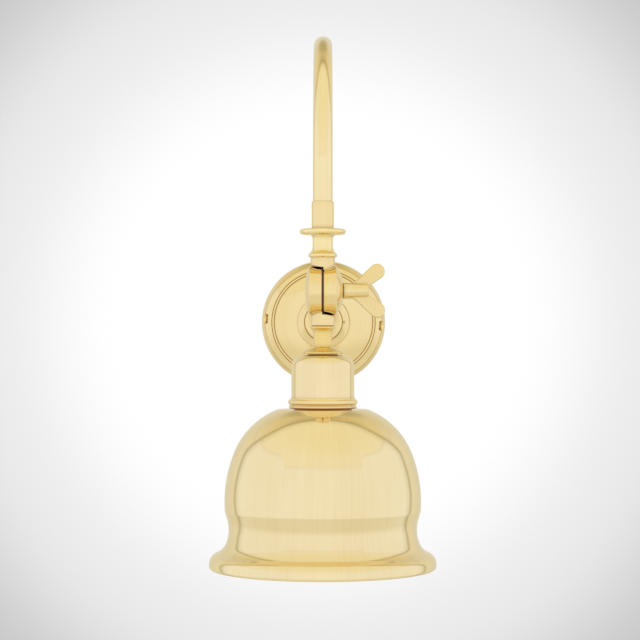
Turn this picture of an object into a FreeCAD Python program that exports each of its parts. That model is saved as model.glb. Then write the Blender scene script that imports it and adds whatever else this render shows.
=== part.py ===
import FreeCAD, Part

# A swan-neck wall light in polished brass: a domed wall rose, a bent half-inch tube that arches out
# over the front, a half-lapped knuckle clamped by a wing nut, and a spun bell shade under a cover cup.
#
# Frame: millimetres, +Z up, the wall is the plane y = 0 and the room lies on its -Y side. The origin
# is the centre of the rose on the wall. The shade's axis is vertical, in the plane x = 0, 284 mm out
# from the wall. Seen from the room, +X is to the right.

import math
import os
import re

import Sketcher

# ---------------------------------------------------------------------------------------------------
# Driving sizes, in millimetres and degrees: alias, value. Each is one cell of the sheet.
# ---------------------------------------------------------------------------------------------------
SIZES = [
    # General fits
    ("fixed_fit", "0.05"),              # radial gap between pieces screwed or soldered together
    ("running_fit", "0.05"),            # radial gap round the pivot stud and the contact plungers
    ("flex_bore_dia", "6.4"),           # wire way through the turned pieces
    ("flex_dia", "5"),                  # sheathed flex
    ("core_dia", "1.8"),                # one insulated core of the flex
    ("flex_proud", "2"),                # sheath past the arm's threaded end
    # Swan-neck arm
    ("tube_dia", "12.7"),               # half-inch tube
    ("tube_wall", "1"),
    ("arch_radius", "112"),             # centreline of the big arch
    ("arch_straight", "4"),             # straight tube between the ferrule and the arch
    ("bend_radius", "26"),              # centreline of the lower bend into the boss
    ("arm_straight", "1"),              # straight tube between the boss and the lower bend
    ("thread_proud", "1.6"),            # arm's threaded end past its nut
    ("socket_depth", "4.5"),            # tube end inside the drip collar
    ("ferrule_dia", "14.3"),
    ("ferrule_height", "17.7"),
    # Wall rose and its boss
    ("rose_dia", "97"),
    ("rose_depth", "23.6"),             # wall to the seat of the boss
    ("rose_edge", "2"),                 # plain cylinder at the wall
    ("rose_rim_radius", "21"),          # round of the rim
    ("rose_rim_wall", "4"),
    ("rose_wall", "2"),
    ("rose_dome_radius", "45"),
    ("rose_bead_inset", "9.2"),         # rose's edge to the middle of the bead between rim and dome
    ("rose_bead_width", "2"),
    ("rose_turn", "3.5"),               # the rose sits this far off level, clockwise from the room
    ("boss_dia", "40"),
    ("boss_collar_dia", "28.8"),
    ("boss_flange", "0.9"),
    ("boss_cone", "3.8"),
    ("boss_height", "9.4"),
    ("boss_round", "1.8"),
    ("grub_dia", "2.5"),
    ("grub_depth", "2.4"),              # grub screw's axis in front of the boss's seat
    ("grub_length", "10"),
    # Fixings inside the rose
    ("plate_dia", "68"),
    ("plate_thick", "1.5"),
    ("plate_hole_dia", "24"),
    ("wall_hole_spacing", "50.8"),      # conduit box centres
    ("wall_slot_width", "4.6"),
    ("wall_slot_length", "10"),
    ("strap_width", "16"),
    ("strap_inset", "12.5"),            # rose's edge to the outer face of each tab
    ("strap_depth", "15.4"),
    ("side_screw_height", "13.1"),      # side screws' axis to the wall
    ("side_screw_dia", "3"),
    ("side_screw_length", "11.5"),
    ("side_head_dia", "5"),
    ("side_head_height", "1.7"),
    ("recess_dia", "7.8"),              # recess round each side screw
    ("recess_inset", "4.9"),            # rose's edge to the floor of that recess
    ("back_nut_flats", "20"),
    ("back_nut_thick", "5"),
    ("lock_washer_dia", "21"),
    ("lock_washer_thick", "1"),
    ("terminal_offset", "21"),
    ("terminal_width", "14"),
    ("terminal_length", "30"),
    ("terminal_depth", "11"),
    ("terminal_pitch", "9"),
    ("earth_offset", "19"),
    ("earth_head_dia", "7"),
    # Drip collar
    ("drip_height", "18.2"),
    ("drip_dia", "29.8"),
    ("drip_edge", "3.4"),
    ("drip_cove", "3.2"),
    ("drip_waist_dia", "13"),
    ("drip_waist_height", "7.3"),
    ("drip_ring_height", "2.5"),
    ("drip_ring_dia", "17.4"),
    ("drip_spigot_dia", "9.8"),
    ("spigot_height", "3"),
    # Knuckle
    ("pivot_height", "17.6"),           # pivot axis above the middle of the rose
    ("ear_dia", "31.8"),
    ("ear_width", "8.8"),
    ("ear_edge", "0.6"),
    ("lap_gap", "0.9"),
    ("shoulder_gap", "1.2"),            # drum to the other half's shoulder
    ("upper_stem_dia", "15.7"),
    ("upper_stem_height", "4.4"),
    ("lower_stem_dia", "15.5"),
    ("lower_stem_height", "5.1"),
    ("dome_dia", "28"),
    ("right_dome_height", "3.75"),
    ("right_dome_face_dia", "12.6"),
    ("right_dome_radius", "16"),
    ("left_dome_height", "1.9"),
    ("left_dome_face_dia", "15"),
    ("left_dome_radius", "30"),
    ("wire_recess_inner", "13.4"),      # ring-shaped wire way in each drum
    ("wire_recess_outer", "25"),
    ("wire_recess_depth", "5.5"),
    ("wire_way_offset", "4.2"),
    ("wire_way_dia", "5.2"),
    ("pivot_dia", "6"),
    ("pivot_end", "26.5"),
    ("pivot_hold", "8"),                # stud's length inside the lower half
    ("washer_inset", "0.5"),            # drums' rims to the friction washer's edge
    ("washer_slot_turn", "140"),        # each of its two slots, degrees
    ("washer_play", "0.03"),
    # Wing nut and its washer
    ("pressure_washer_dia", "10.6"),
    ("pressure_washer_thick", "0.6"),
    ("hub_length", "15.8"),
    ("hub_dia", "10.7"),
    ("hub_end_dia", "9.2"),
    ("hub_round", "1.2"),
    ("wing_span", "36"),
    ("wing_reach", "26.3"),             # hub's base to the wing tips
    ("wing_tip_radius", "5"),
    ("wing_thick", "3.4"),
    ("wing_edge", "1.1"),
    ("wing_root_start", "1.8"),
    ("wing_root_radius", "12"),
    ("wing_slope", "9"),                # straight part of the outer edge, along X
    ("wing_heel", "9.6"),               # straight part of the inner edge
    ("wing_rest_angle", "-15"),         # the upper wing leans back to the wall
    # Neck collar
    ("neck_height", "18.2"),            # top to the underside of the cap
    ("neck_seat", "1"),
    ("neck_seat_dia", "20"),
    ("neck_ring_dia", "16.9"),
    ("neck_ring_top", "0.6"),
    ("neck_ring_thick", "1.4"),
    ("neck_dia", "12.1"),
    ("neck_cove", "3"),
    ("neck_cap_dia", "26.7"),
    ("neck_cap_edge", "1"),
    ("neck_cap_rise", "3.4"),
    ("neck_fillet", "1.6"),
    ("neck_spigot_dia", "8.8"),
    # Nipple and its nut
    ("nipple_dia", "10"),
    ("nipple_bore", "7"),
    ("nipple_entry", "5.4"),            # nipple above the cup's top, in the neck collar
    ("nipple_hold", "4.7"),             # nipple inside the lampholder's cap
    ("nipple_play", "1.5"),             # free thread between lock nut and lampholder
    ("locknut_flats", "14"),
    ("locknut_thick", "3"),
    # Cover cup and gallery ring
    ("cup_dia", "40.4"),
    ("cup_wall", "1"),
    ("cup_shoulder", "7"),
    ("gallery_shelf", "3.9"),           # crown to the shelf that the cup stands on
    ("gallery_plate", "1.1"),
    ("gallery_bead_dia", "42.9"),       # bead and flange before their round edges
    ("gallery_bead_height", "3"),
    ("gallery_flange_dia", "42.8"),
    ("gallery_flange_height", "1.9"),
    ("gallery_foot_dia", "39"),
    ("gallery_foot_height", "0.6"),
    ("gallery_height", "7.6"),
    # Bell shade
    ("shade_wall", "1"),
    ("crown_height", "59.3"),           # belly to the flat crown
    ("crown_dia", "57.7"),              # edge of the flat crown
    ("belly_dia", "126.3"),
    ("side_radius", "85"),
    ("shoulder_radius", "49"),
    ("belly_drop", "4.4"),              # belly to the step
    ("step_width", "0.6"),
    ("step_height", "0.5"),
    ("waist_inset", "2.7"),             # belly to the waist, in radius
    ("waist_drop", "18.3"),             # belly to the waist, in height
    ("flare_drop", "15.1"),             # waist to the turn of the lip
    ("lip_dia", "146.1"),
    ("lip_overhang", "3.5"),            # turn of the lip to its edge, in radius
    ("lip_turn_drop", "5.7"),
    ("lip_band", "3.7"),
    ("lip_roll", "1.9"),
    ("hem_width", "1.7"),
    ("hem_height", "1.4"),
    ("hem_round", "0.3"),
    # Lampholder
    ("skirt_dia", "28.5"),
    ("skirt_wall", "0.6"),
    ("skirt_rise", "6.4"),              # skirt above the crown
    ("skirt_drop", "14.5"),             # skirt below the crown
    ("skirt_shoulder_dia", "32.4"),
    ("skirt_shoulder_thick", "1"),
    ("socket_dia", "22.3"),             # bayonet barrel's bore
    ("barrel_wall", "1"),
    ("barrel_flange_thick", "1.2"),
    ("barrel_drop", "15"),
    ("slot_width", "2.4"),
    ("slot_length", "10"),
    ("slot_turn", "24"),
    ("slot_hook", "1.2"),
    ("holder_rim", "2.6"),              # crown to the rim of the lampholder's cap
    ("holder_cap_height", "26.6"),
    ("holder_cap_wall", "0.9"),
    ("holder_cap_round", "6"),
    ("holder_boss_dia", "14.4"),
    ("holder_boss_height", "5.2"),
    ("insulator_face", "2.5"),          # crown to the insulator's lower face
    ("insulator_dia", "26.4"),
    ("insulator_height", "13"),
    ("plunger_offset", "4.8"),
    ("plunger_dia", "4"),
    ("plunger_head_dia", "4.9"),
    ("plunger_head_height", "1.8"),
    ("plunger_guide", "1.6"),
    ("plunger_reach", "3.5"),           # plunger's tip below the insulator
    ("chamber_height", "8.4"),
    ("spring_wire", "0.5"),
    ("spring_turns", "5"),
    ("spring_dia", "4.1"),              # coil's middle diameter
    ("post_dia", "6.4"),
    ("post_height", "6"),
    ("post_screw_dia", "2.4"),
    ("post_head_dia", "4.2"),
    ("post_head_height", "1.5"),
    ("shade_ring_dia", "37.6"),
    ("shade_ring_flange", "2.2"),
    ("shade_ring_body_dia", "33.6"),
    ("shade_ring_height", "6"),
    ("shade_ring_notches", "12"),
    ("shade_ring_notch_dia", "3.2"),
]
ALIASES = {alias for alias, _ in SIZES}

# ---------------------------------------------------------------------------------------------------
# Levels along the front column, as expressions of the cells. Each hangs from the one before it.
# ---------------------------------------------------------------------------------------------------
SHOULDER = "(ear_dia / 2 + shoulder_gap)"
STEM_TOP = f"(pivot_height + {SHOULDER} + upper_stem_height)"
FERRULE_FOOT = f"({STEM_TOP} + drip_height)"
ARCH_LEVEL = f"({FERRULE_FOOT} + ferrule_height + arch_straight)"
NECK_TOP = f"(pivot_height - {SHOULDER} - lower_stem_height)"
CUP_TOP = f"({NECK_TOP} - neck_height - neck_seat)"
HOLDER_TOP = f"({CUP_TOP} - cup_wall - locknut_thick - nipple_play)"
CROWN = f"({HOLDER_TOP} - holder_cap_height - holder_rim)"
CUP_HEIGHT = f"({CUP_TOP} - {CROWN} - gallery_shelf)"
LAP = "(lap_gap / 2)"
DOME_FACE = f"({LAP} + ear_width + right_dome_height)"
HUB_BASE = f"({DOME_FACE} + 2 * washer_play + pressure_washer_thick)"

# Distances out from the wall, along Y.
REAR_LEG = "(-rose_depth - boss_height - arm_straight - bend_radius)"
FRONT = f"({REAR_LEG} - 2 * arch_radius)"
ROSE_INSIDE = "(rose_depth - rose_wall)"
RECESS = "(rose_dia / 2 - recess_inset)"
STRAP = "(rose_dia / 2 - strap_inset)"
ARM_TAIL = f"({ROSE_INSIDE} - lock_washer_thick - back_nut_thick - thread_proud)"


def cells(text):
    """The same expression with the sheet's name in front of each alias."""
    return re.sub(r"[a-z_]\w*", lambda word: "Sizes." + word[0] if word[0] in ALIASES else word[0], text)


def make_sheet(doc):
    """The sheet of driving sizes, one plain number in each cell."""
    sheet = doc.addObject("Spreadsheet::Sheet", "Sizes")
    for row, (alias, value) in enumerate(SIZES, start=1):
        sheet.set(f"A{row}", value)
        sheet.setAlias(f"A{row}", alias)
    doc.recompute()
    return sheet


def number(doc, text):
    """The present value of an expression of the cells."""
    return float(doc.Sizes.evalExpression(cells(text)))


# ---------------------------------------------------------------------------------------------------
# Bodies, sketches and features
# ---------------------------------------------------------------------------------------------------
def place(thing, x="0", y="0", z="0", axis=None, angle="0"):
    """Bind a placement to expressions of the cells."""
    if axis is not None:
        thing.Placement = FreeCAD.Placement(FreeCAD.Vector(0, 0, 0), FreeCAD.Rotation(axis, 1))
        thing.setExpression("Placement.Rotation.Angle", cells(angle))
    thing.setExpression("Placement.Base.x", cells(x))
    thing.setExpression("Placement.Base.y", cells(y))
    thing.setExpression("Placement.Base.z", cells(z))


def body_at(doc, name, x="0", y="0", z="0", axis=None, angle="0"):
    """A new body with its own name and place."""
    body = doc.addObject("PartDesign::Body", name)
    body.Label = name
    place(body, x, y, z, axis, angle)
    return body


def column_body(doc, name, level):
    """A body on the shade's axis, with its own origin at the given level."""
    return body_at(doc, name, y=FRONT, z=level)


def sketch_on(body, name, plane, lift="0", tilt=None, tilt_angle="0"):
    """A sketch on one of the body's own planes, lifted along the plane's normal."""
    sketch = body.newObject("Sketcher::SketchObject", f"{body.Name}_{name}")
    origin_plane = next(part for part in body.Origin.OriginFeatures if part.Role == plane)
    sketch.AttachmentSupport = [(origin_plane, "")]
    sketch.MapMode = "FlatFace"
    if tilt is not None:
        rotation = FreeCAD.Rotation(tilt, sketch.evalExpression(cells(tilt_angle)))
        sketch.AttachmentOffset = FreeCAD.Placement(FreeCAD.Vector(0, 0, 0), rotation)
        sketch.setExpression("AttachmentOffset.Rotation.Angle", cells(tilt_angle))
    if lift != "0":
        sketch.setExpression("AttachmentOffset.Base.z", cells(lift))
    return sketch


def pin(sketch, geometry, end, x_text, y_text, tag):
    """Fix one end point of a sketch element at two expressions."""
    for axis_type, text, axis_line, letter in (("DistanceX", x_text, -2, "x"), ("DistanceY", y_text, -1, "y")):
        if text == "0":
            sketch.addConstraint(Sketcher.Constraint("PointOnObject", geometry, end, axis_line))
            continue
        value = float(sketch.evalExpression(cells(text)))
        index = sketch.addConstraint(Sketcher.Constraint(axis_type, -1, 1, geometry, end, value))
        sketch.renameConstraint(index, f"{letter}_{tag}")
        sketch.setExpression(f"Constraints.{letter}_{tag}", cells(text))


def size(sketch, kind, geometry, text, tag):
    """Fix the radius or diameter of a sketch element at an expression."""
    value = float(sketch.evalExpression(cells(text)))
    index = sketch.addConstraint(Sketcher.Constraint(kind, geometry, value))
    sketch.renameConstraint(index, tag)
    sketch.setExpression(f"Constraints.{tag}", cells(text))


def arc_between(start, end, radius, side):
    """A short arc from start to end whose centre lies left or right of the way."""
    chord = end - start
    middle = (start + end) * 0.5
    across = FreeCAD.Vector(-chord.y, chord.x, 0).normalize()
    reach = math.sqrt(max(radius ** 2 - (chord.Length / 2) ** 2, 0.0))
    centre = middle + across * (reach if side == "left" else -reach)
    first, last = (start, end) if side == "left" else (end, start)
    angles = [math.atan2(point.y - centre.y, point.x - centre.x) for point in (first, last)]
    return Part.ArcOfCircle(Part.Circle(centre, FreeCAD.Vector(0, 0, 1), radius), *angles)


def outline(sketch, corners, tag="p", closed=True):
    """Draw an outline through corners (x, y) or (x, y, radius, side of the arc that arrives there)."""
    points = []
    for corner in corners:
        place_xy = [float(sketch.evalExpression(cells(text))) for text in corner[:2]]
        points.append(FreeCAD.Vector(*place_xy, 0))
    count = len(corners)
    ends = []
    for index in range(count if closed else count - 1):
        following = (index + 1) % count
        if len(corners[following]) == 4:
            radius_text, side = corners[following][2:]
            radius = float(sketch.evalExpression(cells(radius_text)))
            arc = arc_between(points[index], points[following], radius, side)
            geometry = sketch.addGeometry(arc)
            ends.append((geometry, 1, 2) if side == "left" else (geometry, 2, 1))
        else:
            geometry = sketch.addGeometry(Part.LineSegment(points[index], points[following]))
            ends.append((geometry, 1, 2))
    for index, (geometry, start, _) in enumerate(ends):
        if index > 0 or closed:
            before, _, finish = ends[index - 1]
            sketch.addConstraint(Sketcher.Constraint("Coincident", before, finish, geometry, start))
        pin(sketch, geometry, start, corners[index][0], corners[index][1], f"{tag}{index}")
        following = (index + 1) % count
        if len(corners[following]) == 4:
            size(sketch, "Radius", geometry, corners[following][2], f"radius_{tag}{index}")
    if not closed:
        geometry, _, finish = ends[-1]
        pin(sketch, geometry, finish, corners[-1][0], corners[-1][1], f"{tag}{count - 1}")


def circle(sketch, diameter, x_text="0", y_text="0", tag="c"):
    """A circle of the given diameter."""
    centre = FreeCAD.Vector(*[float(sketch.evalExpression(cells(text))) for text in (x_text, y_text)], 0)
    radius = float(sketch.evalExpression(cells(diameter))) / 2
    geometry = sketch.addGeometry(Part.Circle(centre, FreeCAD.Vector(0, 0, 1), radius))
    pin(sketch, geometry, 3, x_text, y_text, tag)
    size(sketch, "Diameter", geometry, diameter, f"dia_{tag}")


def rectangle(sketch, left, right, low, high, tag="p"):
    """A rectangle between four expressions."""
    outline(sketch, [(left, low), (right, low), (right, high), (left, high)], tag)


def hexagon(sketch, flats):
    """A hexagon with two flats level."""
    corners = []
    for turn in range(6):
        angle = 60 * turn
        corners.append((f"{flats} / sqrt(3) * cos({angle})", f"{flats} / sqrt(3) * sin({angle})"))
    corners[0] = (corners[0][0], "0")
    corners[3] = (corners[3][0], "0")
    outline(sketch, corners)


def revolve(body, sketch, axis="V_Axis"):
    """A full turn of the sketch round one of its own axes."""
    feature = body.newObject("PartDesign::Revolution", f"{sketch.Name}_turned")
    feature.Profile = sketch
    feature.ReferenceAxis = (sketch, [axis])
    feature.Angle = 360
    return feature


def pad(body, sketch, length, midplane=False, backward=False):
    """Thicken the sketch along its normal."""
    feature = body.newObject("PartDesign::Pad", f"{sketch.Name}_pad")
    feature.Profile = sketch
    feature.setExpression("Length", cells(length))
    feature.SideType = "Symmetric" if midplane else "One side"
    feature.Reversed = backward
    return feature


def pocket(body, sketch, length, midplane=False, forward=False):
    """Cut the sketch's shape, against its normal unless forward is set. The volume must fall."""
    body.Document.recompute()
    before = body.Shape.Volume
    feature = body.newObject("PartDesign::Pocket", f"{sketch.Name}_cut")
    feature.Profile = sketch
    feature.setExpression("Length", cells(length))
    feature.SideType = "Symmetric" if midplane else "One side"
    feature.Reversed = forward
    body.Document.recompute()
    if not body.Shape.Volume < before - 1e-6:
        raise RuntimeError(f"{feature.Name} cut nothing")
    return feature


def around(body, feature, axis, count):
    """Repeat a feature evenly round one of the body's own axes."""
    body.Document.recompute()
    pattern = body.newObject("PartDesign::PolarPattern", f"{feature.Name}_around")
    pattern.Originals = [feature]
    line = next(part for part in body.Origin.OriginFeatures if part.Role == axis)
    pattern.Axis = (line, [""])
    pattern.Angle = 360
    pattern.Occurrences = count
    body.Tip = pattern
    return pattern


def upright_radius(across, along):
    """Radius of an arc that stands upright at one end and moves aside by across over the height along."""
    return f"(({across}^2 + {along}^2) / (2 * {across}))"


def turned(body, corners, name="profile"):
    """A turned piece: its half outline (radius, height) revolved round the body's Z axis."""
    sketch = sketch_on(body, name, "XZ_Plane")
    outline(sketch, corners)
    revolve(body, sketch)
    return body


def turned_from_wall(body, corners, name="profile"):
    """A turned piece whose axis is the body's Y axis: corners are (radius, y)."""
    sketch = sketch_on(body, name, "XY_Plane")
    outline(sketch, corners)
    revolve(body, sketch)
    return body


# ---------------------------------------------------------------------------------------------------
# Wall rose, boss and the fixings behind them
# ---------------------------------------------------------------------------------------------------
def wall_rose(doc):
    """Cast rose: round rim, bead, shallow dome, seat for the boss, and a screw recess on each side."""
    body = body_at(doc, "wall_rose", axis=FreeCAD.Vector(0, 1, 0), angle="rose_turn")
    rim_middle = "(rose_dia / 2 - rose_rim_radius)"
    bead_out = "((rose_dia / 2 - rose_bead_inset) + rose_bead_width / 2)"
    bead_in = "((rose_dia / 2 - rose_bead_inset) - rose_bead_width / 2)"
    rim_end = f"(rose_edge + sqrt(rose_rim_radius^2 - ({bead_out} + 0.3 - {rim_middle})^2))"
    inner_radius = "(rose_rim_radius - rose_rim_wall)"
    inner_end = f"(rose_edge + sqrt({inner_radius}^2 - ({bead_in} - 1 - {rim_middle})^2))"
    turned_from_wall(body, [
        ("rose_dia / 2 - rose_rim_wall", "0"),
        ("rose_dia / 2", "0"),
        ("rose_dia / 2", "-rose_edge"),
        (f"{bead_out} + 0.3", f"-{rim_end}", "rose_rim_radius", "right"),
        (bead_out, f"-{rim_end} + 0.6"),
        (bead_in, f"-{rim_end} + 0.6", "rose_bead_width * 0.55", "right"),
        (f"{bead_in} - 0.3", f"-{rim_end} + 0.2"),
        ("boss_dia / 2 + 0.4", "-rose_depth", "rose_dome_radius", "right"),
        ("tube_dia / 2 + fixed_fit", "-rose_depth"),
        ("tube_dia / 2 + fixed_fit", f"-{ROSE_INSIDE}"),
        ("boss_dia / 2", f"-{ROSE_INSIDE}"),
        (f"{bead_in} - 1", f"-{inner_end}", "rose_dome_radius", "left"),
        ("rose_dia / 2 - rose_rim_wall", "-rose_edge", inner_radius, "left"),
    ])
    recess = sketch_on(body, "recess", "YZ_Plane", lift=RECESS)
    circle(recess, "recess_dia", "-side_screw_height", "0")
    cut = pocket(body, recess, "rose_dia / 2", forward=True)
    around(body, cut, "Y_Axis", 2)
    screw_way = sketch_on(body, "screw_way", "YZ_Plane")
    circle(screw_way, "side_screw_dia + 4 * fixed_fit", "-side_screw_height", "0")
    pocket(body, screw_way, "2 * rose_dia", midplane=True)
    return body


def arm_boss(doc):
    """Stepped boss: flange, hollow cone, collar with a round edge, bored for the tube."""
    body = body_at(doc, "arm_boss", y="-rose_depth")
    turned_from_wall(body, [
        ("tube_dia / 2 + fixed_fit", "0"),
        ("boss_dia / 2", "0"),
        ("boss_dia / 2", "-boss_flange"),
        ("boss_collar_dia / 2 + 0.6", "-boss_flange - boss_cone", "7", "left"),
        ("boss_collar_dia / 2", "-boss_flange - boss_cone + 0.4"),
        ("boss_collar_dia / 2", "-boss_height + boss_round"),
        ("boss_collar_dia / 2 - boss_round", "-boss_height", "boss_round", "right"),
        ("tube_dia / 2 + fixed_fit", "-boss_height"),
    ])
    grub_way = sketch_on(body, "grub_way", "YZ_Plane")
    circle(grub_way, "grub_dia + 2 * fixed_fit", "-grub_depth", "0")
    pocket(body, grub_way, "boss_dia", forward=True)
    return body


def arm_grub_screw(doc):
    """Slotted grub screw that locks the tube in the boss, pointing to +X."""
    body = body_at(doc, "arm_grub_screw", x="tube_dia / 2 + fixed_fit", y="-rose_depth - grub_depth")
    shank = sketch_on(body, "shank", "YZ_Plane")
    circle(shank, "grub_dia")
    pad(body, shank, "grub_length")
    slot = sketch_on(body, "slot", "YZ_Plane", lift="grub_length")
    rectangle(slot, "-0.2", "0.2", "-grub_dia", "grub_dia")
    pocket(body, slot, "0.8")
    return body


def wall_bracket(doc):
    """Steel plate on the wall with two slotted holes, and a bent strap whose tabs take the side screws."""
    body = body_at(doc, "wall_bracket")
    plate = sketch_on(body, "plate", "XZ_Plane")
    circle(plate, "plate_dia")
    pad(body, plate, "plate_thick")
    strap = sketch_on(body, "strap", "XY_Plane", tilt=FreeCAD.Vector(0, 1, 0), tilt_angle="rose_turn")
    outline(strap, [
        (f"-{STRAP}", "0"),
        (STRAP, "0"),
        (STRAP, "-strap_depth"),
        (f"{STRAP} - plate_thick", "-strap_depth"),
        (f"{STRAP} - plate_thick", "-plate_thick"),
        (f"-{STRAP} + plate_thick", "-plate_thick"),
        (f"-{STRAP} + plate_thick", "-strap_depth"),
        (f"-{STRAP}", "-strap_depth"),
    ])
    pad(body, strap, "strap_width", midplane=True)
    middle = sketch_on(body, "middle", "XZ_Plane")
    circle(middle, "plate_hole_dia")
    pocket(body, middle, "4 * plate_thick", midplane=True)
    for side, tag in (("", "upper"), ("-", "lower")):
        slot = sketch_on(body, f"{tag}_slot", "XZ_Plane")
        across, along = "wall_slot_width / 2", "(wall_slot_length - wall_slot_width) / 2"
        centre = f"{side}wall_hole_spacing / 2"
        outline(slot, [
            (f"-{across}", f"{centre} - {along}"),
            ("0", f"{centre} - {along} - {across}", across, "left"),
            (across, f"{centre} - {along}", across, "left"),
            (across, f"{centre} + {along}"),
            ("0", f"{centre} + {along} + {across}", across, "left"),
            (f"-{across}", f"{centre} + {along}", across, "left"),
        ])
        pocket(body, slot, "4 * plate_thick", midplane=True)
    tapped = sketch_on(body, "tapped", "YZ_Plane", tilt=FreeCAD.Vector(1, 0, 0), tilt_angle="rose_turn")
    circle(tapped, "side_screw_dia + 2 * fixed_fit", "-side_screw_height", "0")
    pocket(body, tapped, "2 * rose_dia", midplane=True)
    earth = sketch_on(body, "earth", "XZ_Plane")
    circle(earth, "side_screw_dia + 2 * fixed_fit", "-earth_offset", "0")
    pocket(body, earth, "4 * plate_thick", midplane=True)
    return body


def rose_side_screws(doc):
    """The two side screws, heads in the recesses of the rim, ends in the strap's tabs."""
    body = body_at(doc, "rose_side_screws", axis=FreeCAD.Vector(0, 1, 0), angle="rose_turn")
    body.AllowCompound = True
    screw = sketch_on(body, "screw", "XY_Plane")
    head_end = f"{RECESS} + side_head_height"
    axis_y = "-side_screw_height"
    outline(screw, [
        (f"{RECESS} - side_screw_length", axis_y),
        (head_end, axis_y),
        (head_end, f"{axis_y} + side_head_dia / 2 - 0.8"),
        (f"{head_end} - 0.8", f"{axis_y} + side_head_dia / 2", "0.8", "left"),
        (RECESS, f"{axis_y} + side_head_dia / 2"),
        (RECESS, f"{axis_y} + side_screw_dia / 2"),
        (f"{RECESS} - side_screw_length", f"{axis_y} + side_screw_dia / 2"),
    ])
    first, last = f"{RECESS} - side_screw_length", f"{RECESS} + side_screw_length"
    ends = [FreeCAD.Vector(number(doc, text), number(doc, axis_y), 0) for text in (first, last)]
    centre_line = screw.addGeometry(Part.LineSegment(*ends), True)
    pin(screw, centre_line, 1, first, axis_y, "axis_start")
    pin(screw, centre_line, 2, last, axis_y, "axis_end")
    feature = revolve(body, screw, "Axis0")
    slot = sketch_on(body, "slot", "YZ_Plane", lift=head_end)
    rectangle(slot, f"{axis_y} - side_head_dia", f"{axis_y} + side_head_dia", "-0.35", "0.35")
    cut = pocket(body, slot, "0.7")
    body.Document.recompute()
    pattern = around(body, feature, "Y_Axis", 2)
    pattern.Originals = [feature, cut]
    return body


def arm_lock_washer(doc):
    """Washer between the rose and the back nut."""
    body = body_at(doc, "arm_lock_washer", y=f"-{ROSE_INSIDE}")
    ring = sketch_on(body, "ring", "XZ_Plane")
    circle(ring, "lock_washer_dia", tag="outer")
    circle(ring, "tube_dia + 2 * fixed_fit", tag="inner")
    pad(body, ring, "lock_washer_thick", backward=True)
    return body


def arm_back_nut(doc):
    """Hexagon nut on the arm's threaded end."""
    body = body_at(doc, "arm_back_nut", y=f"-{ROSE_INSIDE} + lock_washer_thick")
    hexagonal = sketch_on(body, "hexagon", "XZ_Plane")
    hexagon(hexagonal, "back_nut_flats")
    circle(hexagonal, "tube_dia + 2 * fixed_fit", tag="bore")
    pad(body, hexagonal, "back_nut_thick", backward=True)
    return body


def terminal_block(doc):
    """Three-way terminal block on the bracket, with a wire way and a screw well for each core."""
    body = body_at(doc, "terminal_block", x="terminal_offset", y="-plate_thick")
    block = sketch_on(body, "block", "XZ_Plane")
    rectangle(block, "-terminal_width / 2", "terminal_width / 2", "-terminal_length / 2", "terminal_length / 2")
    pad(body, block, "terminal_depth")
    for place_in_row, tag in ((-1, "low"), (0, "middle"), (1, "high")):
        height = "0" if place_in_row == 0 else f"{place_in_row} * terminal_pitch"
        well = sketch_on(body, f"{tag}_well", "XZ_Plane", lift="terminal_depth")
        circle(well, "core_dia * 2", "0", height)
        pocket(body, well, "terminal_depth * 0.3")
        way = sketch_on(body, f"{tag}_way", "YZ_Plane")
        circle(way, "core_dia + 4 * fixed_fit", "-terminal_depth / 2", height)
        pocket(body, way, "2 * terminal_width", midplane=True)
    return body


def earth_screw(doc):
    """Earth terminal screw with its square washer, on the bracket's plate."""
    body = body_at(doc, "earth_screw", x="-earth_offset")
    turned_from_wall(body, [
        ("0", "-0.2"),
        ("side_screw_dia / 2", "-0.2"),
        ("side_screw_dia / 2", "-plate_thick"),
        ("earth_head_dia / 2 + 1", "-plate_thick"),
        ("earth_head_dia / 2 + 1", "-plate_thick - 0.8"),
        ("earth_head_dia / 2", "-plate_thick - 0.8"),
        ("earth_head_dia / 2", "-plate_thick - 2.6"),
        ("earth_head_dia / 2 - 1", "-plate_thick - 3.6", "1", "right"),
        ("0", "-plate_thick - 3.6"),
    ])
    slot = sketch_on(body, "slot", "XZ_Plane", lift="plate_thick + 3.6")
    rectangle(slot, "-earth_head_dia", "earth_head_dia", "-0.5", "0.5")
    pocket(body, slot, "1.2")
    return body


# ---------------------------------------------------------------------------------------------------
# Swan-neck arm
# ---------------------------------------------------------------------------------------------------
def arm_spine(body, name, foot, tail):
    """Centreline of the tube in the plane x = 0: up from its foot, over the arch, down, into the wall."""
    spine = sketch_on(body, name, "YZ_Plane")
    outline(spine, [
        (FRONT, foot),
        (FRONT, ARCH_LEVEL),
        (f"{FRONT} + arch_radius", f"{ARCH_LEVEL} + arch_radius", "arch_radius", "right"),
        (REAR_LEG, ARCH_LEVEL, "arch_radius", "right"),
        (REAR_LEG, "bend_radius"),
        (f"{REAR_LEG} + bend_radius", "0", "bend_radius", "left"),
        (f"-{tail}", "0"),
    ], closed=False)
    return spine


def swan_neck_arm(doc):
    """Bent tube from the drip collar's socket to its threaded end inside the rose."""
    body = body_at(doc, "swan_neck_arm")
    foot = f"({FERRULE_FOOT} - socket_depth)"
    spine = arm_spine(body, "spine", foot, ARM_TAIL)
    section = sketch_on(body, "section", "XY_Plane")
    section.setExpression("AttachmentOffset.Base.y", cells(FRONT))
    section.setExpression("AttachmentOffset.Base.z", cells(foot))
    circle(section, "tube_dia", tag="outer")
    circle(section, "tube_dia - 2 * tube_wall", tag="inner")
    pipe = body.newObject("PartDesign::AdditivePipe", "swan_neck_arm_pipe")
    pipe.Profile = section
    pipe.Spine = spine
    return body


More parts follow.
